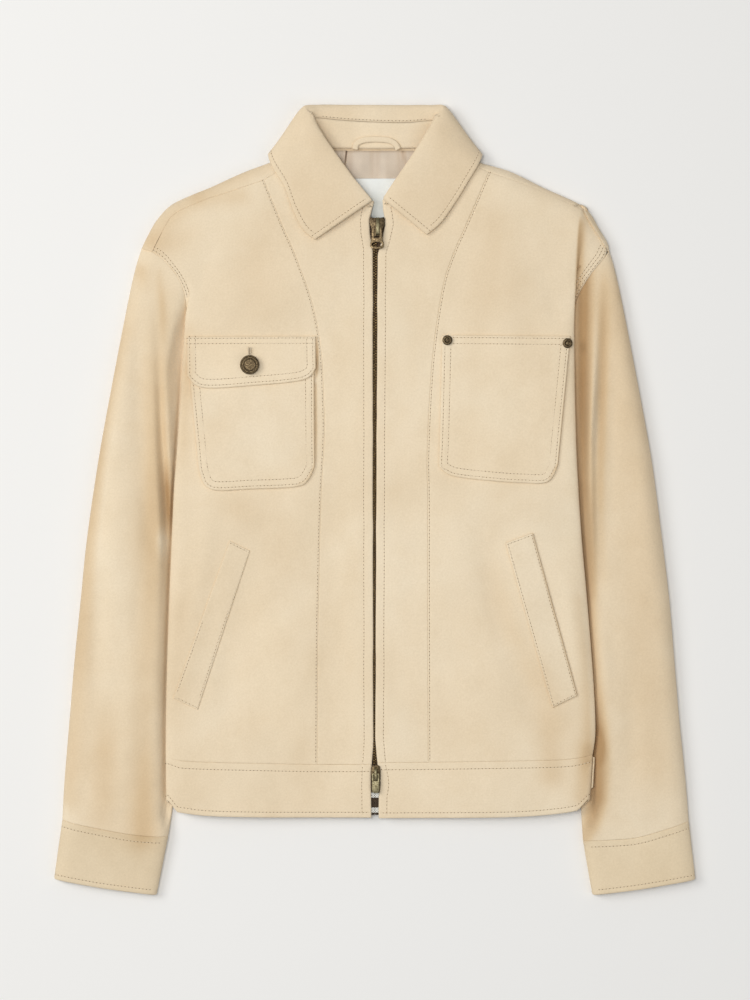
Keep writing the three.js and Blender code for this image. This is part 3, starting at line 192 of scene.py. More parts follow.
# Collar sections from the front end round to the middle of the back:
# neck, seam, roll and edge, each out, up and height, then the lean and the reach of the roll
RIGHT_COLLAR = [
    [2.8, 551, 12.2, 8, 553, 12.6, 2, 556, 15, 54, 520.5, 16.2, 80, 4],
    [25, 557.5, 12.4, 26, 571, 13, 19, 576.5, 15.8, 65, 530, 16.6, 80, 4],
    [49, 576, 12.6, 45, 594, 13.5, 38, 602.5, 16.5, 74, 547.5, 16.6, 72, 5],
    [61, 587, 12.2, 54.5, 610, 14.5, 49, 618.5, 17.5, 82, 569, 17, 55, 6],
    [69, 596, 12, 57.5, 622, 15.5, 57, 631.5, 17, 92.5, 586, 15.6, 25, 8],
    [69, 602.5, 9, 56, 630, 13, 61.5, 640, 14, 96.5, 599, 7, -15, 9],
    [58, 603.5, 5, 49, 630.5, 10, 49, 643, 7, 82, 590, 0, -75, 6],
    [32, 603.4, 4.4, 27, 628.5, 9, 27, 643, 5.5, 48, 583.5, 0, -88, 5],
    [0, 603, 4.4, 0, 627, 9, 0, 643, 5.5, 0, 583, 0, -90, 5],
]
LEFT_COLLAR = [
    [7.4, 553, 12.2, 11, 555, 12.6, 6.5, 557.5, 15, 46.5, 525, 16.2, 80, 4],
    [25, 557.5, 12.4, 27, 573, 13, 21, 579, 15.8, 60, 536.5, 16.6, 80, 4],
    [49, 576, 12.6, 44.5, 594, 13.5, 37, 602.5, 16.5, 74, 556.5, 16.6, 72, 5],
    [61, 587, 12.2, 53, 608, 14.5, 46, 616.5, 17.5, 84, 573, 17, 55, 6],
    [69, 596, 12, 57, 619, 15.5, 53.5, 627, 17, 93, 588, 15.6, 25, 8],
    [69, 602.5, 9, 56, 627, 13, 60.5, 640, 14, 96.8, 599, 7, -15, 9],
    [58, 603.5, 5, 48, 628, 10, 48, 642.7, 7, 82, 590, 0, -75, 6],
    [32, 603.4, 4.4, 27, 626.5, 9, 27, 642.8, 5.5, 48, 583.5, 0, -88, 5],
    [0, 603, 4.4, 0, 627, 9, 0, 643, 5.5, 0, 583, 0, -90, 5],
]

FLAP = dict(
    top=[[53.5, 434], [169.5, 433.5]],
    bottom=[[53, 405], [65, 394.5], [110.5, 389.5], [154.5, 387.5], [168.8, 398]],
)
FLAP_POCKET = dict(
    top=[[54.5, 404], [167, 402]],
    bottom=[[54, 317], [60, 304.5], [71, 298.5], [110.5, 296.5], [148.5, 296.5], [158.5, 315]],
)
OPEN_POCKET = dict(
    top=[[60.5, 435], [176, 434]],
    bottom=[[57.5, 316.5], [69, 308.5], [98, 304.5], [132.5, 302], [155.5, 303], [164.5, 318]],
)
RIGHT_WELT = [[112.5, 241], [130.5, 250], [181.5, 108.5], [159.5, 98]]
LEFT_WELT = [[117.5, 248], [142, 257], [182, 111], [159.5, 100]]
POCKET_UNDER_FLAP = 407
LINING = dict(top=601.6, bottom=512, half_width=72, thick=1)
HANGER_LOOP = [
    [-18, 602.8], [-16.4, 608], [-9.5, 611], [1.5, 611.6], [12.5, 610.6], [18.4, 607.4], [21, 602.8],
]


# Curves

def mix(a, b, t):
    return a + (b - a) * t


def smooth(t):
    t = np.clip(t, 0, 1)
    return t * t * (3 - 2 * t)


def unit(vectors):
    return vectors / np.linalg.norm(vectors, axis=-1, keepdims=True)


def round_over(t):
    """Quarter circle: 0 at the edge, 1 once the roll is behind."""
    rest = 1 - np.clip(t, 0, 1)
    return np.sqrt(1 - rest * rest)


def spline(rows, t):
    rows = np.asarray(rows, float)
    last = len(rows) - 1
    place = np.clip(np.asarray(t, float), 0, 1) * last
    i = np.minimum(np.floor(place).astype(int), last - 1)
    f = (place - i).reshape(place.shape + (1,) * (rows.ndim - 1))
    a, b = rows[np.maximum(i - 1, 0)], rows[i]
    c, d = rows[i + 1], rows[np.minimum(i + 2, last)]
    return b + 0.5 * f * (c - a + f * (2 * a - 5 * b + 4 * c - d + f * (3 * b - a - 3 * c + d)))


def spaced(rows, shares):
    """Points at shares of the curve's length, measured on its first two columns."""
    if isinstance(shares, int):
        shares = np.linspace(0, 1, shares + 1)
    fine = spline(rows, np.linspace(0, 1, 40 * len(rows) + 1))
    steps = np.hypot(*(fine[1:, :2] - fine[:-1, :2]).T)
    run = np.concatenate([[0], np.cumsum(steps)])
    wanted = np.asarray(shares) * run[-1]
    return np.stack([np.interp(wanted, run, fine[:, c]) for c in range(fine.shape[1])], 1)


def read_at(rows, up):
    rows = np.asarray(rows, float)
    return np.interp(up, rows[:, 1], rows[:, 0])


def distance_to(points, out, up):
    """Distance to a line of points, the share of it, and the side of it (+1 to its left)."""
    best = np.full(np.shape(out), np.inf)
    share = np.zeros(np.shape(out))
    hand = np.ones(np.shape(out))
    for i in range(len(points) - 1):
        (ax, ay), (bx, by) = points[i][:2], points[i + 1][:2]
        dx, dy = bx - ax, by - ay
        t = np.clip(((out - ax) * dx + (up - ay) * dy) / (dx * dx + dy * dy), 0, 1)
        away = np.hypot(out - ax - dx * t, up - ay - dy * t)
        nearer = away < best
        best = np.where(nearer, away, best)
        share = np.where(nearer, (i + t) / (len(points) - 1), share)
        hand = np.where(nearer, np.sign(dx * (up - ay) - dy * (out - ax)), hand)
    return best, share, hand


def fold_lift(folds, out, up):
    lift = np.zeros(np.shape(out))
    for out0, up0, out1, up1, width, height in folds:
        away, share, _ = distance_to([(out0, up0), (out1, up1)], out, up)
        lift = lift + height * np.exp(-((away / width) ** 2)) * np.sqrt(4 * share * (1 - share) + 0.05)
    return lift


def crease_lift(creases, out, up):
    """Creases listed as lines: out, up and lift along the line, half widths to its left and right."""
    lift = np.zeros(np.shape(out))
    for points, left, right in creases:
        away, share, hand = distance_to(points, out, up)
        width = np.where(hand > 0, left, right)
        heights = np.array([point[2] for point in points], float)
        along = np.interp(share * (len(points) - 1), np.arange(len(points)), heights)
        lift = lift + along * np.exp(-((away / width) ** 2))
    return lift


def undulation(x, y, size, seed):
    """Soft uneven waves from -1 to 1, about size apart."""
    grid = np.random.default_rng(seed).uniform(-1, 1, (64, 64))
    u, v = np.asarray(x) / size + 31.7, np.asarray(y) / size + 29.3
    i, j = np.floor(u).astype(int), np.floor(v).astype(int)
    f, g = smooth(u - i), smooth(v - j)
    i, j = i % 64, j % 64
    k, m = (i + 1) % 64, (j + 1) % 64
    return mix(mix(grid[i, j], grid[k, j], f), mix(grid[i, m], grid[k, m], f), g)


def seam_shares(length, step, low=True, high=True):
    """Shares along a length: close together beside a sewn border, step apart elsewhere."""
    close = np.array([0, 0.4, 0.9, 1.5, 2.1, 2.7, 3.3, 4.1, 5.2, 6.4, 7.3, 8.0, 8.7, 9.6, 11.2])
    close = close[close < length * 0.42]
    start = close if low else np.array([0.0])
    end = (length - close)[::-1] if high else np.array([float(length)])
    count = max(int(round((end[0] - start[-1]) / step)), 1)
    middle = np.linspace(start[-1], end[0], count + 1)[1:-1]
    return np.concatenate([start, middle, end]) / length


def patch(low, high, near, far, across, rise):
    """Plan grid between four border lines, at shares across and rising."""
    u, v = np.asarray(across)[None, :, None], np.asarray(rise)[:, None, None]
    low, high = low[None, :, :2], high[None, :, :2]
    near, far = near[:, None, :2], far[:, None, :2]
    corners = mix(mix(low[:, :1], low[:, -1:], u), mix(high[:, :1], high[:, -1:], u), v)
    return mix(low, high, v) + mix(near, far, u) - corners


# Heights of the cloth above the surface it lies on

for side in (RIGHT, LEFT):
    side["edge"] = [[row[0], row[1]] for row in side["side"]]
    side["turn"] = [[row[4], row[1]] for row in side["side"]]

BODY_CREASES = dict(
    right=[
        # points of out, up, lift; then the half width to the line's left and right
        ([(176, 240, 0), (183, 180, 0.8), (186, 120, 0)], 6, 9),
        ([(92, 256, 0), (120, 200, -0.7), (136, 124, -0.8), (141, 62, -0.2)], 8, 14),
        ([(62, 124, 0), (92, 86, 0.5), (122, 60, 0)], 10, 8),
        ([(70, 284, 0), (112, 270, 0.6), (160, 288, 0)], 9, 7),
        ([(162, 466, 0), (152, 498, -0.6), (138, 532, 0)], 6, 10),
        ([(60, 470, 0), (88, 462, 0.4), (122, 448, 0)], 10, 9),
        ([(30, 256, 0), (20, 180, 0.4), (26, 86, 0)], 7, 9),
    ],
    left=[
        ([(96, 262, 0), (112, 204, -1.0), (130, 142, -1.2), (160, 80, -0.3)], 7, 13),
        ([(150, 256, 0), (172, 196, 0.8), (188, 126, 0)], 8, 6),
        ([(58, 164, 0), (84, 110, 0.6), (112, 66, 0)], 9, 11),
        ([(62, 292, 0), (110, 274, 0.6), (162, 294, 0)], 8, 8),
        ([(178, 436, 0), (170, 478, -0.8), (152, 524, 0)], 6, 9),
        ([(56, 472, 0), (96, 462, 0.4), (142, 450, 0)], 9, 9),
        ([(28, 306, 0), (20, 220, 0.4), (24, 114, 0)], 8, 9),
    ],
)
SLEEVE_CREASES = dict(
    right=[
        # the deep gap between the sleeve and the body's side
        ([(197, 486, 0), (196, 450, -1.5), (194, 400, -3), (192, 350, -5.5), (190.5, 320, -7),
          (188.5, 285, -9), (186.8, 250, -7.5), (187, 222, -4), (188, 190, -2.5), (189, 60, -2)], 4.2, 4.6),
        ([(228, 446, 0), (238, 382, 0.9), (242, 326, 0)], 8, 10),
        ([(206, 256, 0), (214, 184, -1.0), (210, 114, 0)], 6, 9),
        ([(266, 196, 0), (258, 122, 0.8), (262, 54, 0)], 8, 6),
        ([(196, 62, -0.3), (230, 44, -0.7), (264, 40, 0)], 9, 8),
        ([(204, 20, 0), (236, 8, 0.8), (268, 14, 0)], 7, 6),
    ],
    left=[
        # beside the body's fold, then the long ridge and the valley behind it
        ([(186, 520, 0), (185, 492, -4), (184.5, 455, -8), (184.5, 410, -9.5), (185, 360, -9),
          (186.5, 310, -7.5), (189, 260, -5.5), (193, 200, -3), (197, 120, -1.5)], 6, 6.5),
        ([(202, 500, 0), (199, 455, 1.2), (194.5, 360, 1.0), (193, 327, 0.8), (194, 200, 0.6),
          (195, 110, 0)], 4, 4),
        ([(206, 500, 0), (204.5, 470, -3.4), (203.5, 430, -4.2), (201.5, 380, -4.4), (199.5, 340, -3.8),
          (199, 290, -2.8), (201, 230, -2), (203, 150, 0)], 6, 4.5),
        ([(232, 426, 0), (244, 352, 0.9), (246, 294, 0)], 9, 8),
        ([(206, 206, 0), (216, 144, -1.1), (212, 84, 0)], 7, 8),
        ([(200, 68, -0.3), (232, 52, -0.7), (266, 50, 0)], 8, 9),
        ([(206, 20, 0), (238, 6, 0.9), (270, 10, 0)], 7, 6),
    ],
)


# Painted shade in gaps, in folds and beside edges, with some tone of the pile: out, up and how dark it is
# painted along the line, half widths to its left and right. Below 0 it is painted lighter.
BODY_PAINTED_SHADE_AND_PILE = dict(
    right=[
        ([(22, 500, 0), (24, 420, -0.4), (24, 150, -0.5), (24, 30, -0.3)], 22, 20),
        ([(95, 170, -0.4), (85, 90, -0.4)], 22, 22),
        ([(105, 530, 0.3), (100, 470, 0.25)], 25, 25),
        ([(157, 556, 0.5), (121, 560, 0.5)], 8, 8),
        ([(172, 240, 0), (176, 190, 0.35), (180, 90, 0.2)], 10, 14),
        # painted shade where the shoulder rolls over
        ([(204, 520, 0.4), (158, 565, 0.6), (104, 585, 0.4)], 9, 9),
        ([(168, 440, 0.3), (170, 400, 0.8), (172, 350, 0.6), (175, 300, 0)], 6, 8),
        ([(196, 516, 0.5), (178, 520, 0.4), (150, 528, 0)], 12, 12),
        ([(150, 300, 0), (120, 280, 0.3), (80, 240, 0)], 20, 20),
    ],
    left=[
        # painted shadow along the body's fold over the sleeve
        ([(185.2, 543, 0), (184.4, 534, 1.6), (183.4, 520, 2.2), (182.4, 500, 2.2), (181.4, 470, 1.8),
          (180.5, 440, 0.8)], 5, 1.4),
        ([(150, 105, 0), (156, 75, 0.5), (158, 40, 0.7)], 12, 12),
        ([(105, 530, 0.35), (100, 470, 0.3)], 25, 25),
        # painted shade in the gap above the side tab
        ([(189, 62, 0.6), (190, 40, 1.0), (188, 20, 0.8)], 7, 9),
        ([(94, 252, 0), (112, 197, 0.35), (148, 125, 0.45), (166, 88, 0.3)], 12, 14),
        ([(184, 197, 0.4), (191, 107, 0.6), (193, 53, 0.9)], 4, 7),
        # painted shade where the shoulder rolls over
        ([(204, 534, 0.5), (178, 560, 0.3), (120, 584, 0)], 7, 7),
    ],
)
SLEEVE_PAINTED_SHADE_AND_PILE = dict(
    right=[
        # painted shade where the sleeve rounds off at its outer edge
        ([(211, 501, 0), (224, 455, 0.5), (231, 430, 1.0), (240, 390, 1.2), (248, 340, 1.3), (258, 251, 1.0),
          (269, 107, 0.6), (276, 17, 0.6)], 8, 12),
        ([(207, 100, 0.2), (207, 50, 0.9), (208, -14, 1.2)], 14, 12),
        ([(212, 505, 0), (211, 494, 0.6), (208, 470, 0)], 7, 7),
        ([(243, 120, 0), (243, 60, 0.8), (245, 0, 0.5)], 14, 14),
        ([(194, 492, 0.3), (191, 462, 0.7), (190, 430, 0.2)], 3.5, 3.5),
        ([(193, 467, 0.3), (193, 413, 0.8), (195, 341, 1.1), (198, 269, 1.2), (201, 197, 0.8),
          (203, 107, 0.4)], 16, 14),
        # painted shadow in the deep gap between the sleeve and the body
        ([(188, 320, 0.4), (187, 298, 1.9), (185.5, 275, 2.2), (184.5, 248, 0.6), (186, 205, 0.2)], 4, 5),
        ([(191, 266, 0), (191, 251, -1.2), (190, 228, 0)], 5, 5),
        # painted highlight along the sleeve's middle
        ([(225, 467, 0), (237, 359, -0.5), (244, 251, -0.6), (248, 125, 0)], 8, 9),
    ],
    left=[
        # painted shadow on the sleeve where it runs under the body's fold
        ([(187, 543, 2.4), (188, 503, 2.6), (187.5, 449, 2.7), (187, 377, 2.5), (187.5, 305, 2.3),
          (190.5, 233, 2.0), (193.5, 161, 1.2), (197, 110, 1.0), (199.5, 76, 1.7), (199, 62, 2.9),
          (198.5, 50, 2.3), (198, 20, 1.7), (195, 4, 1.4), (190, -16, 1.2)], 7.5, 7),
        ([(201, 130, 0), (203, 90, 0.8), (204, 68, 1.6), (206, 44, 1.0), (203.5, 16, 1.3),
          (198, -8, 0.5)], 6, 6),
        ([(206, 501, 0), (205, 440, 1.3), (204, 377, 1.4), (202.5, 305, 1), (204, 215, 0.2)], 5, 4),
        ([(199, 467, 0), (198, 400, -0.4), (197, 350, -0.5), (197, 310, 0.3), (196, 269, 0.8),
          (197, 200, 0.4)], 3, 3),
        ([(220, 470, 0.8), (228, 420, 0.6), (238, 305, 0.45), (247, 161, 0.5), (252, 35, 0.4)], 26, 30),
    ],
)

# Painted shade of one piece: along its edges and where it lies in a fold; below 0 it is painted lighter
PIECE_PAINTED_SHADE_AND_PILE = dict(
    front_side_right=[
        # painted shadow beside the flap's end
        ([(52.6, 433, 0.5), (51.9, 420, 2.0), (52.2, 404, 1.7), (53, 397, 0.6)], 1.6, 1.3),
        ([(53.4, 392, 1.0), (53.1, 350, 1.1), (53.2, 320, 0.6)], 1.3, 1.1),
    ],
    # painted shade along the edges of the flap, the pockets and the welt, painted lighter in their middles
    chest_flap=[
        ([(53.8, 432, 0.4), (53.4, 405, 0.9), (58, 400, 0.3)], 1, 1),
        ([(112, 425, -0.4), (112, 400, -0.4)], 60, 60),
    ],
    chest_pocket=[([(54.6, 404, 0.9), (54.2, 318, 0.9), (60, 305.5, 0.6), (71, 299, 0.3)], 1.1, 1.1)],
    open_pocket=[
        ([(176.2, 430, 0.2), (171, 380, 1.0), (165, 320, 1.2), (156, 303.5, 0.6)], 1.2, 1.2),
        ([(118, 420, -0.3), (114, 330, -0.3)], 50, 50),
    ],
    collar_leaf=[([(60, 605, 0.25), (60, 560, 0.3)], 60, 60)],
    welt_left=[([(142, 256, 0.6), (162, 184, 1.3), (182, 112, 0.9)], 1.2, 1.2)],
    collar_stand=[([(0, 612, -0.35), (30, 612, 0), (60, 612, 0.45)], 30, 30)],
    # painted shade on the label under the collar, darker towards its lower end
    neck_label=[
        ([(0, 562, 0.2), (0, 554, 0.9), (0, 530, 1.2)], 9, 9),
        ([(0, 562, 0.12), (22, 562, 0.12)], 1, 1),
    ],
    cuff_left=[([(240, -10, -0.7), (240, -66, -0.7)], 70, 70)],
    # painted shadow at the pleat's edge, along the neck seam and beside the folds
    back_lining=[
        ([(25.8, 601.5, 2.6), (26.4, 596, 2.6), (27.2, 589, 1.8), (27.6, 584, 0)], 0.8, 1.0),
        ([(0, 604, 0.9), (60, 604, 0.9)], 3, 3),
        ([(3, 600, 0.5), (2, 575, 0.3)], 2, 3), ([(22, 600, 0.5), (23, 575, 0.3)], 3, 2),
    ],
)


def crown_height(side, out, up):
    share = out / (FRONT["crown_share"] * read_at(side["edge"], up))
    seed = 5 if side is LEFT else 3
    fine = 0.34 * undulation(out, up, 34, seed) + 0.16 * undulation(out, up, 15, seed + 1)
    folds = fold_lift(BODY_FOLDS[side["name"]], out, up) + crease_lift(BODY_CREASES[side["name"]], out, up)
    return mix(FRONT["zip"], FRONT["side"], smooth(share)) + folds + fine * smooth(out / 14)


def shoulder_height(side, out, up):
    away, _, _ = distance_to(side["ridge"], out, up)
    return mix(RIDGE["height"], crown_height(side, out, up), round_over(away / RIDGE["roll"]))


def front_height(side, out, up):
    inside = read_at(side["edge"], up) - out
    level = shoulder_height(side, out, up)
    rolled = mix(FRONT["fold"], level, round_over(inside / FRONT["fold_roll"]))
    return mix(level, rolled, read_at(side["turn"], up))


def under_body(side, up):
    return smooth((up + 14) / 18) * read_at(side["turn"], up)


def sleeve_height(side, out, up):
    seed = 11 if side is LEFT else 9
    fine = 0.4 * undulation(out, up, 30, seed) + 0.18 * undulation(out, up, 13, seed + 1)
    full = read_at(SLEEVE_HEIGHTS, up) + fold_lift(SLEEVE_FOLDS[side["name"]], out, up) + fine
    full = full + crease_lift(SLEEVE_CREASES[side["name"]], out, up)
    outer = round_over((read_at(side["silhouette"], up) - out) / SLEEVE["roll"])
    inner = round_over((out - read_at(side["inner"], up)) / SLEEVE["inner"])
    free = mix(SLEEVE["edge"], full, np.minimum(outer, inner))
    past_body = round_over((out - read_at(side["edge"], up) - 1.5) / SLEEVE["inner"])
    covered = mix(SLEEVE["tucked"], mix(SLEEVE["edge"], full, outer), past_body)
    height = np.minimum(mix(free, covered, under_body(side, up)), mix(SLEEVE["edge"], full, outer))
    return np.maximum(height, SLEEVE["tucked"] * np.minimum(outer * 4, 1))


def yoke_floor(up):
    return YOKE_LIFT[2] * smooth((up - YOKE_LIFT[0]) / (YOKE_LIFT[1] - YOKE_LIFT[0]))


def place(side, out, up, height):
    parts = np.broadcast_arrays(side["sign"] * np.asarray(out, float), np.asarray(up) - PLAN_MIDDLE, height)
    return np.stack(parts, -1)


def on_front(side, out, up, lift=0.0):
    return place(side, out, up, front_height(side, out, up) + lift)


# Materials

def new_material(name):
    """A material with an empty tree but for its shader and output."""
    material = bpy.data.materials.new(name)
    material.use_nodes = True
    tree = material.node_tree
    tree.nodes.clear()
    shader = tree.nodes.new("ShaderNodeBsdfPrincipled")
    output = tree.nodes.new("ShaderNodeOutputMaterial")
    tree.links.new(shader.outputs[0], output.inputs[0])
    return material, tree, shader


def noise(tree, scale, detail=2, rough=0.5, stretch=None):
    place_node = tree.nodes.new("ShaderNodeTexCoord")
    texture = tree.nodes.new("ShaderNodeTexNoise")
    texture.inputs["Scale"].default_value = scale
    texture.inputs["Detail"].default_value = detail
    texture.inputs["Roughness"].default_value = rough
    if stretch:
        turn = tree.nodes.new("ShaderNodeMapping")
        turn.inputs["Scale"].default_value = stretch
        turn.inputs["Rotation"].default_value = (0, 0, 0.35)
        tree.links.new(place_node.outputs["Object"], turn.inputs[0])
        tree.links.new(turn.outputs[0], texture.inputs["Vector"])
    else:
        tree.links.new(place_node.outputs["Object"], texture.inputs["Vector"])
    return texture.outputs[0]


def ramp(tree, value, stops):
    node = tree.nodes.new("ShaderNodeValToRGB")
    while len(node.color_ramp.elements) < len(stops):
        node.color_ramp.elements.new(0.5)
    for element, (position, color) in zip(node.color_ramp.elements, stops):
        element.position = position
        element.color = (*color, 1)
    tree.links.new(value, node.inputs[0])
    return node.outputs[0]


def multiplied(tree, a, b):
    node = tree.nodes.new("ShaderNodeMix")
    node.data_type = "RGBA"
    node.blend_type = "MULTIPLY"
    node.inputs[0].default_value = 1.0
    tree.links.new(a, node.inputs[6])
    tree.links.new(b, node.inputs[7])
    return node.outputs[2]


def relief(tree, shader, heights):
    """Bump from several textures: each a value, a strength and a depth in metres."""
    last = None
    for value, strength, depth in heights:
        bump = tree.nodes.new("ShaderNodeBump")
        bump.inputs["Strength"].default_value = strength
        bump.inputs["Distance"].default_value = depth
        tree.links.new(value, bump.inputs["Height"])
        if last:
            tree.links.new(last, bump.inputs["Normal"])
        last = bump.outputs[0]
    tree.links.new(last, shader.inputs["Normal"])


def srgb(*channels):
    return tuple(((c / 255 + 0.055) / 1.055) ** 2.4 if c > 10 else c / 255 / 12.92 for c in channels)


def painted_shade_and_pile_tone(tree, darkest, darker=(0.85, 0.77, 0.665)):
    """Colour from the attribute: painted shade below 0.5, painted light above, with some tone of the pile."""
    laid = tree.nodes.new("ShaderNodeAttribute")
    laid.attribute_name = "nap_and_painted_shade"
    return ramp(tree, laid.outputs["Fac"], [
        (0.0, darkest), (0.31, darker), (0.5, (1, 1, 1)), (1.0, (1.22, 1.23, 1.23)),
    ])


def suede(name, light, middle, dark):
    """Brushed suede: cloudy nap, short streaks where a hand has passed, fine fibres, and the painted shade
    laid on each piece.
    """
    material, tree, shader = new_material(name)
    clouds = noise(tree, 9, 3, 0.55)
    streaks = noise(tree, 26, 4, 0.6, stretch=(1, 0.45, 1))
    fibres = noise(tree, 620, 3, 0.7)
    base = ramp(tree, clouds, [(0.3, dark), (0.5, middle), (0.7, light)])
    rubbed = ramp(tree, noise(tree, 34, 3, 0.6), [
        (0.32, (0.982, 0.974, 0.962)), (0.5, (1, 1, 1)), (0.7, (1.006, 1.01, 1.016)),
    ])
    base = multiplied(tree, base, rubbed)
    nap_and_painted_shade = ramp(tree, streaks, [(0.34, (0.975, 0.97, 0.96)), (0.64, (1.02, 1.02, 1.02))])
    grain = ramp(tree, fibres, [(0.3, (0.95, 0.945, 0.935)), (0.7, (1.04, 1.04, 1.04))])
    color = multiplied(tree, multiplied(tree, base, nap_and_painted_shade), grain)
    # painted shade and light, from the attribute laid on each piece
    color = multiplied(tree, color, painted_shade_and_pile_tone(tree, (0.56, 0.425, 0.29)))
    tree.links.new(color, shader.inputs["Base Color"])
    shader.inputs["Roughness"].default_value = 0.93
    shader.inputs["Specular IOR Level"].default_value = 0.2
    shader.inputs["Sheen Weight"].default_value = 0.22
    shader.inputs["Sheen Roughness"].default_value = 0.45
    shader.inputs["Sheen Tint"].default_value = (1.0, 0.93, 0.82, 1)
    relief(tree, shader, [
        (noise(tree, 150, 4, 0.6), 0.25, 0.0008), (fibres, 0.4, 0.0003),
        (noise(tree, 1500, 2, 0.6), 0.3, 0.00012),
    ])
    return material


def woven(name, color, dark, scale, rough=0.8, sheen=0.1, specular=0.3, laid=()):
    material, tree, shader = new_material(name)
    coordinates = tree.nodes.new("ShaderNodeTexCoord")
    checker = tree.nodes.new("ShaderNodeTexChecker")
    checker.inputs["Scale"].default_value = scale
    tree.links.new(coordinates.outputs["Object"], checker.inputs["Vector"])
    cloud = noise(tree, 60, 3)
    weave = ramp(tree, checker.outputs[1], [(0.0, dark), (1.0, color)])
    shade = ramp(tree, cloud, [(0.3, (0.9, 0.9, 0.9)), (0.7, (1.05, 1.05, 1.05))])
    color = multiplied(tree, weave, shade)
    # painted shade from the attribute laid on each piece, where its stops are given
    if laid:
        color = multiplied(tree, color, painted_shade_and_pile_tone(tree, *laid))
    tree.links.new(color, shader.inputs["Base Color"])
    shader.inputs["Roughness"].default_value = rough
    shader.inputs["Sheen Weight"].default_value = sheen
    shader.inputs["Specular IOR Level"].default_value = specular
    relief(tree, shader, [(checker.outputs[1], 0.4, 0.0002), (cloud, 0.3, 0.0006)])
    return material


def brass(name, color, dark, rough):
    material, tree, shader = new_material(name)
    wear = noise(tree, 900, 3, 0.6)
    tree.links.new(ramp(tree, wear, [(0.38, dark), (0.62, color)]), shader.inputs["Base Color"])
    tree.links.new(ramp(tree, wear, [(0.3, (rough + 0.15,) * 3), (0.7, (rough,) * 3)]),
                   shader.inputs["Roughness"])
    shader.inputs["Metallic"].default_value = 0.92
    relief(tree, shader, [(wear, 0.25, 0.0002)])
    return material


SUEDE = suede("sand_suede", srgb(239, 223, 196), srgb(237, 219, 190), srgb(234, 215, 185))
# A darker copy of the sand suede, for the cuffs: its darkness is painted shade.
SUEDE_PAINTED_SHADE = suede(
    "sand_suede_painted_shade", srgb(231, 213, 183), srgb(226, 207, 176), srgb(220, 200, 168),
)
# The satin takes painted shadow at its pleat, neck seam and folds; the label takes painted shade under the
# collar.
SATIN = woven("taupe_satin", srgb(224, 208, 187), srgb(212, 194, 173), 2600, 0.42, 0.25, 0.5,
              laid=((0.2, 0.15, 0.12), (0.85, 0.77, 0.68)))
LABEL = woven("bare_label", srgb(247, 249, 246), srgb(240, 243, 240), 1700, 0.7,
              laid=((0.5, 0.48, 0.44), (0.77, 0.77, 0.74)))
TAPE = woven("zip_tape_weave", srgb(96, 76, 56), srgb(66, 50, 36), 900, 0.85)
THREAD = woven("suede_thread", srgb(243, 230, 205), srgb(232, 215, 186), 2000, 0.6)
# Dark marks for the needle holes and the buttonhole's slit: painted shade of the holes.
HOLE_SHADE = woven("needle_hole", srgb(160, 130, 94), srgb(140, 110, 76), 2000, 0.9)
TEETH = brass("aged_teeth", srgb(136, 112, 74), srgb(70, 54, 34), 0.42)
BRASS = brass("antique_brass", srgb(150, 142, 112), srgb(112, 102, 76), 0.42)
PULL_BRASS = brass("worn_pull_brass", srgb(128, 110, 82), srgb(84, 70, 50), 0.36)
DARK_BRASS = brass("dark_brass", srgb(104, 90, 66), srgb(58, 46, 33), 0.36)


# Cloth shells

surfaces = {}


def make_object(name, points, faces, material):
    mesh = bpy.data.meshes.new(name)
    mesh.from_pydata((np.asarray(points) * MM).tolist(), [], [list(map(int, face)) for face in faces])
    mesh.polygons.foreach_set("use_smooth", [True] * len(mesh.polygons))
    mesh.materials.append(material)
    mesh.update()
    piece = bpy.data.objects.new(name, mesh)
    bpy.context.scene.collection.objects.link(piece)
    # painted shade and light laid on the piece as an attribute
    lay_painted_shade_and_pile(piece, name, np.asarray(points, float))
    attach(piece, "jacket")
    return piece


PAINTED_SHADE_STEP = 0.19              # what one step of dark in the tables takes off the attribute
PAINTED_SHADE_RANGE = (-2, 2.6)


def lay_painted_shade_and_pile(piece, name, points):
    """The piece's painted shade and pile tone as an attribute: 0.5 as cut, less where shade is painted, more
    where it is painted lighter.
    """
    out, up = np.abs(points[:, 0]), points[:, 1] + PLAN_MIDDLE
    table = SLEEVE_PAINTED_SHADE_AND_PILE if name.startswith(("sleeve", "cuff")) else BODY_PAINTED_SHADE_AND_PILE
    right, left = (crease_lift(table[side], out, up) for side in ("right", "left"))
    dark = np.where(points[:, 0] < 0, right, left)
    dark += crease_lift(PIECE_PAINTED_SHADE_AND_PILE.get(name.replace("_cloth", ""), ()), out, up)
    # painted shade and light, with some tone of the pile, for the materials to read
    nap_and_painted_shade = piece.data.attributes.new("nap_and_painted_shade", "FLOAT", "POINT")
    nap_and_painted_shade.data.foreach_set("value", (0.5 - PAINTED_SHADE_STEP * np.clip(dark, *PAINTED_SHADE_RANGE)).astype(np.float32))


def grid_faces(rows, columns, turned, closed):
    j, i = np.meshgrid(np.arange(rows - 1), np.arange(columns if closed else columns - 1), indexing="ij")
    after = (i + 1) % columns
    faces = np.stack([j * columns + i, j * columns + after, (j + 1) * columns + after, (j + 1) * columns + i],
                     -1).reshape(-1, 4)
    return faces[:, ::-1] if turned else faces


def normals_of(points, faces):
    cross = np.cross(points[faces[:, 2]] - points[faces[:, 0]], points[faces[:, 3]] - points[faces[:, 1]])
    normal = np.zeros_like(points)
    for k in range(4):
        np.add.at(normal, faces[:, k], cross)
    return normal / np.maximum(np.linalg.norm(normal, axis=1, keepdims=True), 1e-9)


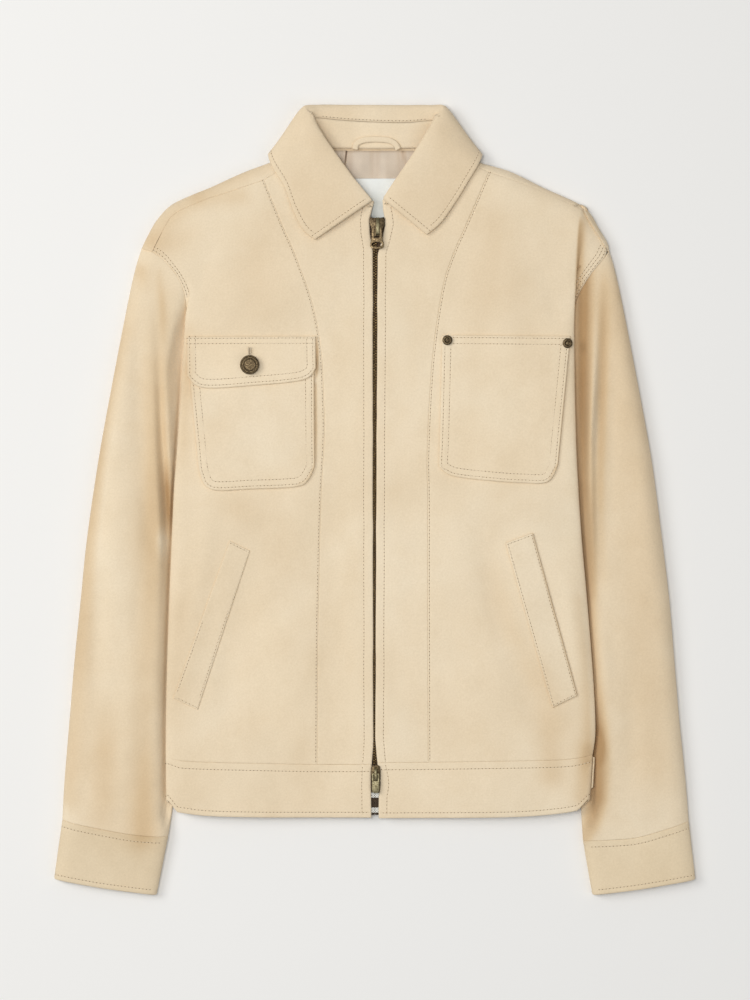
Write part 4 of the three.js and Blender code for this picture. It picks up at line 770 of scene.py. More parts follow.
def shell(points, faces, thickness, inset=None):
    """Closed wall behind a sheet of faces; inset sinks the face side, as at a sewn edge."""
    normal = normals_of(points, faces)
    face = points if inset is None else points - normal * np.asarray(inset).reshape(-1, 1)
    back = points - normal * thickness
    count = len(points)
    start, end = faces.reshape(-1), np.roll(faces, -1, axis=1).reshape(-1)
    open_edge = ~np.isin(start * count + end, end * count + start)
    a, b = start[open_edge], end[open_edge]
    rim = np.stack([b, a, a + count, b + count], -1)
    return np.concatenate([face, back]), np.concatenate([faces, faces[:, ::-1] + count, rim]), normal


def lengths_along(points, axis=0):
    """Distance of each point from the first, measured along its row or column."""
    steps = np.linalg.norm(np.diff(points, axis=axis), axis=-1)
    start = np.zeros_like(np.take(steps, [0], axis))
    return np.concatenate([start, np.cumsum(steps, axis)], axis)


def border_distance(rows, border):
    """Distance in from a border of a grid, along its rows or columns."""
    axis = 0 if border in ("low", "high") else 1
    run = lengths_along(rows, axis)
    return run if border in ("low", "near") else np.take(run, [-1], axis) - run


PULLED_IN, PULLED_WIDTH = 0.17, 0.9     # what a row of stitches does to the cloth beside it


def sewn(rows, edges, stitches=(), laid=()):
    """How far the face sinks: rounded off at its edges, pulled in along its stitch rows.

    edges gives a depth for each border: small where two pieces are joined, more at a free edge.
    """
    sink = np.zeros(rows.shape[:2])
    for border, depth in edges.items():
        away = border_distance(rows, border)
        reach = 1.3 if depth < 0.5 else 2.1
        sink = np.maximum(sink, depth * (1 - round_over(away / reach)))
    uneven = 1 + 0.45 * undulation(rows[..., 0], rows[..., 1], 6.5, 41)
    for border, distance in stitches:
        away = border_distance(rows, border)
        sink = np.maximum(sink, PULLED_IN * uneven * np.exp(-(((away - distance) / PULLED_WIDTH) ** 2)))
    for row in laid:
        away, _, _ = distance_to(row, np.abs(rows[..., 0]), rows[..., 1] + PLAN_MIDDLE)
        sink = np.maximum(sink, PULLED_IN * uneven * np.exp(-((away / PULLED_WIDTH) ** 2)))
    return sink


def cloth(name, rows, thickness, material, inset=None, turned=False, closed=False):
    """A piece of cloth from a grid of face points, in place of the solid of that name."""
    rows = np.asarray(rows, float)
    faces = grid_faces(rows.shape[0], rows.shape[1], turned, closed)
    points = rows.reshape(-1, 3)
    inset = np.zeros(len(points)) if inset is None else np.asarray(inset).reshape(-1)
    inset = np.minimum(inset, thickness * 0.6)
    all_points, all_faces, normal = shell(points, faces, thickness, inset)
    piece = make_object(name + "_cloth", all_points, all_faces, material)
    surfaces[name] = (all_points[:len(points)].reshape(rows.shape), normal.reshape(rows.shape))
    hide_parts(name)
    return piece


def facing(side):
    return side["sign"] < 0


def drawn_in(rows, low=True, high=True, near=True, far=True):
    moved = rows.copy()

    def pull(at, to):
        away = rows[to] - rows[at]
        moved[at] += unit(away) * (SEAM / 2)

    # the outermost row moves half a seam in; the next rows are far enough in to stay
    if low:
        pull((0, slice(None)), (2, slice(None)))
    if high:
        pull((-1, slice(None)), (-3, slice(None)))
    if near:
        pull((slice(None), 0), (slice(None), 2))
    if far:
        pull((slice(None), -1), (slice(None), -3))
    return moved


BODY_LENGTH = 520
BODY_ROWS = seam_shares(BODY_LENGTH, 3.2)
CENTRE_SHARES = seam_shares(52, 3.2)
YOKE_SHARE = 5 / 7


# how far each front's edge stands from the zip line, and at which height
ZIP_EDGE = dict(
    right=[
        [3.4, 0], [3.6, 30], [2.9, 46], [1.7, 62], [1.6, 75], [1.7, 150], [1.9, 300], [1.9, 512],
        [4.4, 526], [5.0, 538], [3.4, 546], [1.4, 553], [1.1, 557],
    ],
    left=[
        [3.4, 0], [3.4, 20], [4.2, 24], [4.9, 30], [4.5, 36], [2.4, 46], [1.2, 58], [0.4, 72], [0.4, 100],
        [1.2, 300], [2.0, 450], [2.3, 508], [6.0, 520], [9.2, 534], [8.6, 541], [7.2, 548], [6.8, 557],
    ],
)


def at_the_zip(side, plan, shares):
    """Shifts a plan grid's inner edge to the zip; the shift fades out across the piece."""
    up = plan[..., :1, 1]
    wanted = read_at(ZIP_EDGE[side["name"]], up) + 0.22 * undulation(up, 0 * up, 17, 51)
    plan[..., 0] += (wanted - plan[..., :1, 0]) * (1 - smooth(shares))
    return plan


def centre_rows(side):
    across = CENTRE_SHARES
    neck = spaced(side["neckline"][::-1], np.clip(across / YOKE_SHARE, 0, 1))
    yoke = spaced(side["yoke_to_neck"][::-1], np.clip((across - YOKE_SHARE) / (1 - YOKE_SHARE), 0, 1))
    high = np.where((across <= YOKE_SHARE)[:, None], neck, yoke)
    low = spaced(side["band_top"][:2], across)
    near = spaced([low[0], high[0]], BODY_ROWS)
    far = spaced(side["princess"], BODY_ROWS)
    plan = patch(low, high, near, far, across, BODY_ROWS)
    plan = at_the_zip(side, plan, across / 0.55)
    return on_front(side, plan[..., 0], plan[..., 1])


def turned_under(side, stations):
    """The turned part of a side: control points from the fold line to the seam behind it."""
    edge_out, edge_up, seam_out, seam_up, turn, seam_height = np.asarray(stations, float).T
    level = shoulder_height(side, edge_out, edge_up)
    edge_height = mix(level, FRONT["fold"], turn)
    flush = shoulder_height(side, seam_out, seam_up)
    end_height = mix(flush, seam_height, smooth(turn * 1.15))
    low = np.minimum(WRAP["low_height"], seam_height + 3)
    reach = np.minimum(np.abs(edge_out - seam_out) / (side["side"][0][0] - side["side"][0][2]), 1)
    points = [place(side, edge_out, edge_up, edge_height)]
    stops = [
        (0.25, WRAP["turn"], FRONT["fold"] - WRAP["drop"]),
        (0.5, WRAP["flat_in"], np.maximum(WRAP["flat_height"], seam_height + 0.6)),
        (0.75, WRAP["low_in"], np.maximum(low, seam_height + 0.3)),
    ]
    for share, inward, height in stops:
        under = edge_out - np.minimum(inward, WRAP["turn"] + (inward - WRAP["turn"]) * reach)
        out = mix(mix(edge_out, seam_out, share), under, turn)
        lift = mix(mix(level, flush, share), height, turn)
        points.append(place(side, out, mix(edge_up, seam_up, share), lift))
    points.append(place(side, seam_out, seam_up, end_height))
    return np.stack(points, 1)


def fold_start(side, stations, share):
    edge = np.asarray(stations, float)[:, :2]
    top = smooth((edge[:, 1] - side["edge"][-1][1]) / 32 + 1)
    return np.stack([
        edge[:, 0] + mix(-FRONT["fold_roll"], side["top_inset"][0], top) * share,
        edge[:, 1] + mix(0, side["top_inset"][1], top) * share,
    ], 1)


TURN_STEPS = 5


def with_turn(side, plan, stations, sag=0):
    """Adds the rolled fold and the turned part to a plan grid that ends at the fold's start."""
    top = on_front(side, plan[..., 0], plan[..., 1])
    roll = fold_start(side, stations, 0.3)
    roll[:, 1] += sag
    roll = on_front(side, roll[:, 0], roll[:, 1])
    control = np.concatenate([top[:, -3:-2], top[:, -1:], roll[:, None], turned_under(side, stations)], 1)
    last = control.shape[1] - 1
    shares = np.arange(TURN_STEPS + 1, last * TURN_STEPS + 1) / (last * TURN_STEPS)
    curve = spline(np.moveaxis(control, 1, 0), shares)
    return np.concatenate([top, np.moveaxis(curve, 0, 1)], 1)


def side_rows(side):
    across = seam_shares(120, 3.2, True, False)
    stations = spaced(side["side"], BODY_ROWS)
    near = spaced(side["princess"], BODY_ROWS)
    far = fold_start(side, stations, 1)
    band_top = spaced(side["band_top"], 200)
    low_out = mix(near[0, 0], far[0, 0], across)
    low = np.stack([low_out, np.interp(low_out, band_top[:, 0], band_top[:, 1])], 1)
    sag = (low[-1, 1] - far[0, 1]) * np.exp(-(BODY_ROWS * BODY_LENGTH) / 14)
    far[:, 1] += sag
    high = straighten(across, near[-1], far[-1], spaced(side["yoke_seam"][::-1], across))
    return with_turn(side, patch(low, high, near, far, across, BODY_ROWS), stations, sag * 0.3)


def straighten(across, start, end, rows):
    """A border line moved so that it starts and ends at its corners."""
    shift = mix(start - rows[0], end - rows[-1], across[:, None])
    return rows + shift


def band_rows(side):
    across = seam_shares(190, 3.4)
    top = spaced(side["band_top"], across)
    hem = spaced(side["hem"], across)
    shares = seam_shares(49, 2.6)
    share = shares[:, None]
    line = at_the_zip(side, mix(hem[None], top[None], share[..., None]), across / 0.16)
    edge = line[:, -1]
    seam_out = mix(side["hem_seam"][0], side["side"][0][2], shares)
    seam_up = mix(side["hem_seam"][1], side["side"][0][3], shares)
    turned, height = np.ones(len(shares)), np.zeros(len(shares))
    stations = np.stack([edge[:, 0], edge[:, 1], seam_out, seam_up, turned, height], 1)
    keep = edge[:, None, 0] - line[..., 0]
    count = int((keep.min(0) > FRONT["fold_roll"]).sum())
    return with_turn(side, line[:, :count], stations)


def back_armhole_at(side, up):
    return read_at(spaced(side["back_armhole"], 40), up)


def back_rows():
    shares = np.linspace(0, 1, 90)
    borders = []
    for side in (RIGHT, LEFT):
        seam = spaced([[r[2], r[3]] for r in side["side"] if r[1] < UNDERARM + 2], 30)
        ups = mix(seam[-1, 1], BACK_SEAM, np.arange(1, 21) / 20)
        armhole = np.stack([back_armhole_at(side, ups), ups], 1)
        border = np.concatenate([seam, armhole])
        borders.append(np.stack([border[:, 0] - TURNED_SEAM, border[:, 1]], 1))
    right, left = borders
    x = mix(-right[:, :1], left[:, :1], shares)
    up = mix(right[:, 1:], left[:, 1:], shares)
    return np.stack([x, up - PLAN_MIDDLE, np.zeros_like(x)], -1)


def back_band_rows():
    shares = np.linspace(0, 1, 90)
    rise = seam_shares(48, 4)
    ends = []
    for side in (RIGHT, LEFT):
        ends.append((mix(side["hem_seam"][0], side["side"][0][2], rise) - TURNED_SEAM,
                     mix(side["hem_seam"][1], side["side"][0][3], rise)))
    x = mix(-ends[0][0][:, None], ends[1][0][:, None], shares)
    up = mix(ends[0][1][:, None], ends[1][1][:, None], shares)
    return np.stack([x, up - PLAN_MIDDLE, np.zeros_like(x)], -1)


def yoke_piece(grids):
    """One piece: flat across the back, over each shoulder and down to the front seams."""
    back_shares = seam_shares(110, 6, True, False)
    strip_shares = np.concatenate([np.linspace(0.04, 0.6, 7), [0.7, 0.8, 0.88, 0.94, 0.98, 1]])
    points, columns = [], []

    def add(point):
        points.append(point)
        return len(points) - 1

    top = []
    for side, (centre, front) in zip((RIGHT, LEFT), grids):
        first = int(np.argmax(CENTRE_SHARES > YOKE_SHARE)) - 1
        seam = np.concatenate([centre[-1, first:], front[-1, 1:]])[::-1]
        steps = np.linalg.norm(seam[1:, :2] - seam[:-1, :2], axis=1)
        ridge = spaced(side["ridge"], np.concatenate([[0], np.cumsum(steps)]) / steps.sum())
        run = unit(np.gradient(ridge, axis=0))
        inward = np.stack([-run[:, 1], run[:, 0]], 1) * 4
        shoulder = []
        for i, (out, up) in enumerate(ridge):
            start = place(side, out, up, RIDGE["height"] + yoke_floor(up) * 0.5)
            last = seam[i].copy()
            towards = start - last
            towards[2] = 0
            last += towards / max(np.linalg.norm(towards), 1e-6) * SEAM * 1.5
            strip = [start]
            for share in strip_shares[:-1]:
                x, y = mix(side["sign"] * out, last[0], share), mix(up - PLAN_MIDDLE, last[1], share)
                height = float(shoulder_height(side, np.array(side["sign"] * x), np.array(y + PLAN_MIDDLE)))
                strip.append(place(side, side["sign"] * x, y + PLAN_MIDDLE, height))
            strip.append(last)
            shoulder.append((side["sign"] * (out + inward[i, 0]), up + inward[i, 1], strip))
        if side is LEFT:
            for x in np.linspace(-NECK_START[0], NECK_START[0], 41)[1:-1]:
                top.append((x, mix(NECK_SEAM_UP, NECK_START[1], abs(x) / NECK_START[0]) - 0.6, []))
            top += shoulder[::-1]
        else:
            top += shoulder
    half = [back_armhole_at(side, BACK_SEAM) - TURNED_SEAM for side in (RIGHT, LEFT)]
    for i, (x_top, up_top, strip) in enumerate(top):
        low = mix(-half[0], half[1], i / (len(top) - 1))
        column = []
        for share in back_shares:
            up = mix(BACK_SEAM + SEAM, up_top, share)
            column.append(add(np.array([mix(low, x_top, share), up - PLAN_MIDDLE, float(yoke_floor(up))])))
        columns.append(column + [add(point) for point in strip])
    faces = []
    for a, b in zip(columns[:-1], columns[1:]):
        for j in range(min(len(a), len(b)) - 1):
            faces.append([a[j], a[j + 1], b[j + 1], b[j]])
    points, faces = np.array(points), np.array(faces)
    sink = np.zeros(len(points))
    for column in columns:
        if len(column) > len(back_shares):
            chain = points[column]
            away = np.linalg.norm(chain[1:] - chain[:-1], axis=1)
            away = np.concatenate([np.cumsum(away[::-1])[::-1], [0]])
            sink[column] = JOINED * (1 - round_over(away / 1.3))
    all_points, all_faces, _ = shell(points, faces, WALL, sink)
    piece = make_object("yoke_cloth", all_points, all_faces, SUEDE)
    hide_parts("yoke")
    quads = points[faces]
    area = np.linalg.norm(np.cross(quads[:, 2] - quads[:, 0], quads[:, 3] - quads[:, 1]), axis=1).sum() / 2
    area *= MM * MM
    return piece


# Shares across a sleeve's upper face, then back along its underside
TOP_SHARES = np.concatenate([
    [0, 0.008, 0.018, 0.032, 0.05, 0.07, 0.09], np.linspace(0.11, 0.88, 36),
    [0.905, 0.93, 0.95, 0.967, 0.98, 0.991, 1],
])
BOTTOM_SHARES = np.concatenate([
    [0.992, 0.975, 0.95, 0.91], np.linspace(0.88, 0.12, 14), [0.08, 0.045, 0.022, 0.008],
])
RING_COLUMNS = 12


def ring_rows(side, top_lines, bottom_lines, height_at):
    rings = []
    for j, (line, bottom) in enumerate(zip(top_lines, bottom_lines)):
        plan = spline(line, TOP_SHARES)
        over = place(side, plan[:, 0], plan[:, 1], height_at(plan[:, 0], plan[:, 1], TOP_SHARES, j))
        width = math.hypot(*(line[0][:2] - line[-1][:2]))
        below = spline(bottom, BOTTOM_SHARES)
        outer = SLEEVE["edge"] * (1 - round_over(BOTTOM_SHARES * width / 6))
        inner = SLEEVE["inner_edge"] * (1 - round_over((1 - BOTTOM_SHARES) * width / 3))
        rings.append(np.concatenate([over, place(side, below[:, 0], below[:, 1], outer + inner)]))
    return np.array(rings)


def armhole_line(side):
    rows = []
    top_out, top_up = side["silhouette"][-1]
    rows.append([top_out + SEAM, top_up - 2 * SEAM, SLEEVE["edge"]])
    for row in [r for r in side["side"] if r[1] >= UNDERARM][::-1]:
        flush = float(shoulder_height(side, np.array(row[2]), np.array(row[3])))
        height = mix(flush, row[5] - 0.4, float(smooth(row[4] * 1.15)))
        rows.append([row[2] + 0.8 * ARMHOLE_SEAM, row[3] - 0.5 * ARMHOLE_SEAM,
                     SLEEVE["tucked"] if row[4] > 0.95 else height])
    return rows


def sleeve_rows(side):
    shares = seam_shares(500, 3.0)
    seam = armhole_line(side)
    outer = spaced(side["silhouette"][1:-1] + [seam[0][:2]], shares)
    inner = spaced(side["inner"], shares)
    columns = np.arange(RING_COLUMNS + 1) / RING_COLUMNS
    cuff, armhole = spaced(side["cuff_top"], RING_COLUMNS), spaced(seam, RING_COLUMNS)
    back = spaced(side["back_armhole"][::-1], RING_COLUMNS) + [SEAM, 0]
    for line, row in ((cuff, 0), (armhole, -1), (back, -1)):
        line[0, :2], line[-1, :2] = outer[row], inner[row]
    head = spaced(seam, 240)[:, 2]
    head[-1] = SLEEVE["tucked"]
    top_lines = patch(cuff, armhole, outer, inner, columns, shares)
    bottom_lines = patch(cuff, back, outer, inner, columns, shares)

    def height_at(out, up, share, j):
        rise = smooth((shares[j] - 0.8) / 0.2)
        height = mix(sleeve_height(side, out, up), np.interp(share, np.linspace(0, 1, len(head)), head), rise)
        height[0] = SLEEVE["edge"]
        height[-1] = mix(SLEEVE["edge"], SLEEVE["inner_edge"], under_body(side, up[-1]))
        return height

    rings = ring_rows(side, top_lines, bottom_lines, height_at)
    # the seam allowance runs on under the body's edge
    onward = rings[-1] - rings[-2]
    onward *= 1.6 / np.linalg.norm(onward, axis=1, keepdims=True)
    above = smooth((rings[-1][:, 2:] - 1.5) / 3)
    return np.concatenate([rings, (rings[-1] + onward * above - [0, 0, 2.1] * above)[None]])


def cuff_rows(side):
    top, end = spaced(side["cuff_top"], RING_COLUMNS), spaced(side["cuff_end"], RING_COLUMNS)
    shares = seam_shares(52, 2.6)[::-1]
    top = top - [0, 2 * SEAM]
    lines = [mix(end, top, share) for share in shares]

    def height_at(out, up, share, j):
        width = lines[j][0][0] - lines[j][-1][0]
        rounded = np.minimum(round_over(share * width / SLEEVE["roll"]),
                             round_over((1 - share) * width / SLEEVE["inner"]))
        fine = 0.35 * undulation(out, up, 24, 21 + side["sign"])
        return mix(SLEEVE["edge"], read_at(SLEEVE_HEIGHTS, up) + fine, rounded)

    return ring_rows(side, lines, lines, height_at)[::-1]


def collar_sections(count):
    def half(rows, sign):
        rows = np.array(rows, float)
        rows[:, [0, 3, 6, 9]] *= sign
        return rows

    return spaced(np.concatenate([half(RIGHT_COLLAR, -1), half(LEFT_COLLAR, 1)[::-1][1:]]), count)


def bezier(a, b, c, d, t):
    t = np.asarray(t)[:, None]
    return a * (1 - t) ** 3 + 3 * b * t * (1 - t) ** 2 + 3 * c * t * t * (1 - t) + d * t ** 3


def collar_curve(section, into_shares, down_shares):
    corner = [section[k:k + 3] - [0, PLAN_MIDDLE, 0] for k in (0, 3, 6, 9)]
    neck, seam, roll, edge = corner
    lean, reach = math.radians(section[12]), section[13]
    back, front = (unit(way[:2]) for way in (roll - seam, edge - roll))
    # behind the neck the roll heads away from the seam, in front towards the leaf's edge
    outward = unit(np.append(mix(back, front, smooth((section[12] + 15) / 40)), 0))
    heading = outward * math.cos(lean) + np.array([0, 0, math.sin(lean)])
    leaf_run = edge - roll
    mid = mix(seam, roll, 0.35)
    mid[2] = seam[2]
    before_edge = edge - 0.55 * leaf_run
    before_edge[2] = edge[2] + (1.5 if section[12] > 0 else 0)
    into = bezier(seam, mid, roll - heading * reach, roll, into_shares)
    down = bezier(roll, roll + heading * reach, before_edge, edge, down_shares)
    return neck, seam, into, down


def leaf_rows():
    into = mix(0.015, 1, np.linspace(0, 1, 9))
    down = np.concatenate([
        np.linspace(0.02, 0.2, 9), np.linspace(0.24, 0.78, 14),
        [0.83, 0.87, 0.905, 0.93, 0.95, 0.968, 0.984, 0.994, 1],
    ])
    rows = []
    for section in collar_sections(170):
        _, _, start, leaf = collar_curve(section, into, down)
        rows.append(np.concatenate([start, leaf]))
    rows = np.array(rows)
    rows[..., 2] = np.maximum(rows[..., 2], 0)
    return rows


def stand_rows():
    rows = []
    for section in collar_sections(170):
        neck, seam, _, _ = collar_curve(section, [0], [0])
        rows.append(neck + (seam - neck) * np.linspace(0.02, 0.995, 12)[:, None])
    return np.array(rows)


def patch_rows(side, outline, lift_at, width, height):
    across, rise = seam_shares(width, 3.0), seam_shares(height, 3.0)
    high, low = spaced(outline["top"], across), spaced(outline["bottom"], across)
    near, far = spaced([low[0], high[0]], rise), spaced([low[-1], high[-1]], rise)
    plan = patch(low, high, near, far, across, rise)
    return on_front(side, plan[..., 0], plan[..., 1], lift_at(plan[..., 1]))


def welt_rows(side, corners, lift):
    top_in, top_out, low_out, low_in = (np.array(c, float) for c in corners)
    rise, across = seam_shares(150, 3), seam_shares(22, 2)
    low = mix(low_in, low_out, across[:, None])
    high = mix(top_in, top_out, across[:, None])
    plan = mix(low[None], high[None], rise[:, None, None])
    return on_front(side, plan[..., 0], plan[..., 1], lift)


def lining_height(up):
    return np.maximum(yoke_floor(up), yoke_floor(up + 12)) + WALL + 0.35 + LINING["thick"]


PLEAT = 0.453                # share of the half width, on the right


def lining_rows():
    beside = [-0.09, -0.06, -0.04, -0.025, -0.012, -0.004, 0.004, 0.012, 0.02, 0.03, 0.05]
    pleat_at = -PLEAT + np.array(beside)
    rise = np.linspace(0, 1, 40)[:, None]
    across = np.sort(np.concatenate([np.linspace(-1, 1, 61), pleat_at]))[None]
    up = mix(LINING["bottom"], LINING["top"], rise) + 0 * across
    x = across * LINING["half_width"] * mix(1, 0.8, rise)
    near = across + PLEAT
    # a pleat whose edge faces the middle, then the soft folds that hang from the neck seam
    lip = np.where(near < 0, smooth((near + 0.09) / 0.09), 1 - smooth(near / 0.012))
    folds = sum(depth * np.exp(-(((x - at) / width) ** 2)) for at, width, depth in (
        (-13, 4, 0.4), (-2, 2.4, -0.3), (9, 4, 0.45), (22, 2.4, -0.3), (32, 4, 0.4)))
    raised = (1.5 * lip + folds) * smooth((up - 560) / 24)
    return np.stack([x, up - PLAN_MIDDLE, lining_height(up) + np.maximum(raised, -0.25)], -1)


LABEL_PLACE = dict(low=528, high=576.5, half_width=22)


def label_rows():
    rise = seam_shares(48.5, 3)[:, None]
    across = (seam_shares(44, 3)[None] * 2 - 1) * LABEL_PLACE["half_width"]
    up = mix(LABEL_PLACE["low"], LABEL_PLACE["high"], rise) + 0 * across
    return np.stack([across + 0 * up, up - PLAN_MIDDLE, lining_height(up) + 1.3], -1)


def loop_rows():
    line = spaced(HANGER_LOOP, 60)
    run = unit(np.gradient(line, axis=0))
    half = 2.7
    offsets = np.linspace(half, -half, 11)
    x = line[:, :1] - run[:, 1:] * offsets
    up = line[:, 1:] + run[:, :1] * offsets
    # it lies on the collar stand, which rises from the neck seam to the leaf's seam
    neck_up, neck_height, _, seam_up, seam_height = RIGHT_COLLAR[-1][1:6]
    rise = np.clip((up - neck_up) / (seam_up - neck_up), 0, 1)
    height = mix(neck_height, seam_height, rise) + WALL
    bulge = 0.35 * (1 - (offsets / half) ** 2)
    return np.stack([x, up - PLAN_MIDDLE, height + bulge], -1)


def side_tab_rows(band):
    fold = band.shape[1] - 5 * TURN_STEPS
    columns = np.arange(fold + 3, fold + 3 * TURN_STEPS)
    shares = seam_shares(38, 1.6) * 0.68 + 0.28
    rows = band[0, columns][None] + (band[-1, columns] - band[0, columns])[None] * shares[:, None, None]
    normal = normals_of(rows.reshape(-1, 3), grid_faces(rows.shape[0], rows.shape[1], False, False))
    return rows + normal.reshape(rows.shape) * (WALL + ON_TOP)


# Making the jacket

# Stitch rows: piece, border that the row follows, distance in from it, share of it from and to
STITCHES = []
for side, zip_in, first in (("right", 8.7, 0.815), ("left", 7.7, 0.772)):
    STITCHES += [
        (f"front_centre_{side}", "near", zip_in, 0, 0.985), (f"front_side_{side}", "near", 1.4, 0, 1),
        (f"front_side_{side}", "far", 2.1, first, 1), (f"front_side_{side}", "far", 5.2, first + 0.006, 1),
        (f"waistband_front_{side}", "high", 6.4, 0, 0.86),
        (f"waistband_front_{side}", "low", 5.2, 0.02, 0.86),
        (f"waistband_front_{side}", "near", zip_in, 0.1, 0.88),
        (f"cuff_{side}", "high", 5.6, 0, 0.62), (f"cuff_{side}", "low", 4.9, 0, 0.62),
    ]
STITCHES += [
    ("front_side_left", "far", 8.3, 0.79, 1),
    ("collar_leaf", "far", 5.0, 0.03, 0.97), ("collar_leaf", "low", 5.0, 0.42, 0.96),
    ("collar_leaf", "high", 5.0, 0.42, 0.96), ("collar_leaf", "near", 1.6, 0.318, 0.682),
]


def stitched(name):
    return [(border, distance) for piece, border, distance, _, _ in STITCHES if piece == name]


grids = []
for side in (RIGHT, LEFT):
    name, tuck = side["name"], facing(side)
    centre, front = drawn_in(centre_rows(side)), drawn_in(side_rows(side))
    band = drawn_in(band_rows(side), low=False)
    side["band"] = band
    grids.append((centre, front))
    joined = dict(low=JOINED, high=JOINED, far=JOINED)
    cloth(f"front_centre_{name}", centre, WALL, SUEDE,
          sewn(centre, dict(joined, near=FREE), stitched(f"front_centre_{name}")), turned=tuck)
    cloth(f"front_side_{name}", front, WALL, SUEDE,
          sewn(front, dict(joined, near=JOINED), stitched(f"front_side_{name}")), turned=tuck)
    cloth(f"waistband_front_{name}", band, WALL, SUEDE,
          sewn(band, dict(low=FREE, high=JOINED, far=JOINED, near=FREE), stitched(f"waistband_front_{name}")),
          turned=tuck)
    sleeve, cuff = sleeve_rows(side), cuff_rows(side)
    cloth(f"sleeve_{name}", sleeve, SLEEVE_WALL, SUEDE,
          sewn(sleeve, dict(low=JOINED, high=JOINED)), turned=not tuck, closed=True)
    # the cuffs in the darker copy of the suede: painted shade
    cloth(f"cuff_{name}", cuff, SLEEVE_WALL, SUEDE_PAINTED_SHADE,
          sewn(cuff, dict(low=FREE, high=JOINED), stitched(f"cuff_{name}")), turned=not tuck, closed=True)
yoke_piece(grids)
back = drawn_in(back_rows(), near=False, far=False)
cloth("back_panel", back, WALL, SUEDE, turned=True)
back_band = drawn_in(back_band_rows(), low=False, near=False, far=False)
cloth("waistband_back", back_band, WALL, SUEDE, turned=True)
tab = side_tab_rows(LEFT["band"])
ALL_ROUND = dict(near=FREE, far=FREE, low=FREE, high=FREE)
cloth("side_tab_left", tab, WALL, SUEDE, sewn(tab, ALL_ROUND))

leaf = leaf_rows()
cloth("collar_leaf", leaf, WALL, SUEDE,
      sewn(leaf, dict(far=FREE, low=FREE, high=FREE, near=0.12), stitched("collar_leaf")), turned=True)
stand = stand_rows()
cloth("collar_stand", stand, WALL, SUEDE, turned=True)
cloth("back_lining", lining_rows(), LINING["thick"], SATIN)
label = label_rows()
cloth("neck_label", label, LABEL_WALL, LABEL, sewn(label, dict.fromkeys(ALL_ROUND, 0.4)))
loop = loop_rows()
cloth("hanger_loop", loop, LOOP_WALL, SUEDE, sewn(loop, dict(near=0.45, far=0.45)))


def single(_up):
    return WALL + ON_TOP


def flap_lift(up):
    return mix(2, 1, smooth((up - POCKET_UNDER_FLAP) / 14)) * (WALL + ON_TOP)


def inside(path, distance, count=150):
    """A row of stitches that keeps its distance inside an outline, with the outline to its right."""
    fine = spaced(path, count)
    run = unit(np.gradient(fine, axis=0))
    row = fine + np.stack([-run[:, 1], run[:, 0]], 1) * distance
    away, _, _ = distance_to(fine, row[:, 0], row[:, 1])
    return row[away > distance - 0.12]


def outline_rows(outline, distances, across=(), below=0.0):
    """Rows down one side, along the bottom and up the other side, then rows beside the top edge."""
    top, bottom = np.array(outline["top"], float), np.array(outline["bottom"], float)
    sides = [mix(top[0], bottom[0], t) for t in (below, 0.2, 0.4, 0.6, 0.8)]
    ends = [mix(bottom[-1], top[-1], t) for t in (0.2, 0.4, 0.6, 0.8, 1 - below)]
    path = np.concatenate([sides, spaced(bottom, 16), ends])
    rows = [inside(path, distance) for distance in distances]
    for distance in across:
        rows.append(np.array([top[0] + [0.6, -distance], mix(top[0], top[-1], 0.5) - [0, distance],
                              top[-1] - [0.6, distance]]))
    return rows


def welt_stitches(corners, distance, spans):
    """A row along each edge of a welt, over its span of shares."""
    corners = np.array(corners, float)
    middle = corners.mean(0)
    rows = []
    for a, b, (start, end) in zip(corners, np.roll(corners, -1, 0), spans):
        run = unit(b - a)
        inward = np.array([-run[1], run[0]])
        inward *= np.sign(inward @ (middle - a))
        rows.append(np.stack([mix(a + run * distance, b - run * distance, t) + inward * distance
                              for t in np.linspace(start, end, 12)]))
    return rows


PATCHES = [
    # name, side, outline, lift, width and height, how far its edge is rounded, rows round it,
    # rows below its top, and how far down the rows round it start
    ("chest_pocket", RIGHT, FLAP_POCKET, single, 112, 100, dict(near=FREE, far=FREE, low=FREE),
     (2.7, 8.0), (), 0),
    ("chest_flap", RIGHT, FLAP, flap_lift, 116, 38, ALL_ROUND, (2.7, 8.0), (1.6, 6.4), 0),
    ("open_pocket", LEFT, OPEN_POCKET, single, 112, 124, ALL_ROUND, (2.7, 8.0), (2.2, 7.6), 0.08),
]
laid_rows = []
for name, side, outline, lift, wide, tall, rounded, distances, across, below in PATCHES:
    grid = patch_rows(side, outline, lift, wide, tall)
    rows = outline_rows(outline, distances, across, below)
    cloth(name, grid, WALL, SUEDE, sewn(grid, rounded, (), rows), turned=facing(side))
    laid_rows += [(side, row, lift) for row in rows]


def flush(_up):
    return 1.2


for side, corners, thick, lift, round_edge, spans in (
    (RIGHT, RIGHT_WELT, RIGHT_WELT_WALL, flush, 0.55, ((0, 1), (0.5, 0.96), (0, 1), (0.06, 0.62))),
    (LEFT, LEFT_WELT, WALL, single, FREE, ((0, 1),) * 4),
):
    welt, name = welt_rows(side, corners, lift(0)), f"welt_{side['name']}"
    rows = welt_stitches(corners, 1.7, spans)
    rounded = dict.fromkeys(ALL_ROUND, round_edge)
    cloth(name, welt, thick, SUEDE, sewn(welt, rounded, (), rows), turned=facing(side))
    laid_rows += [(side, row, lift) for row in rows]


# Stitching

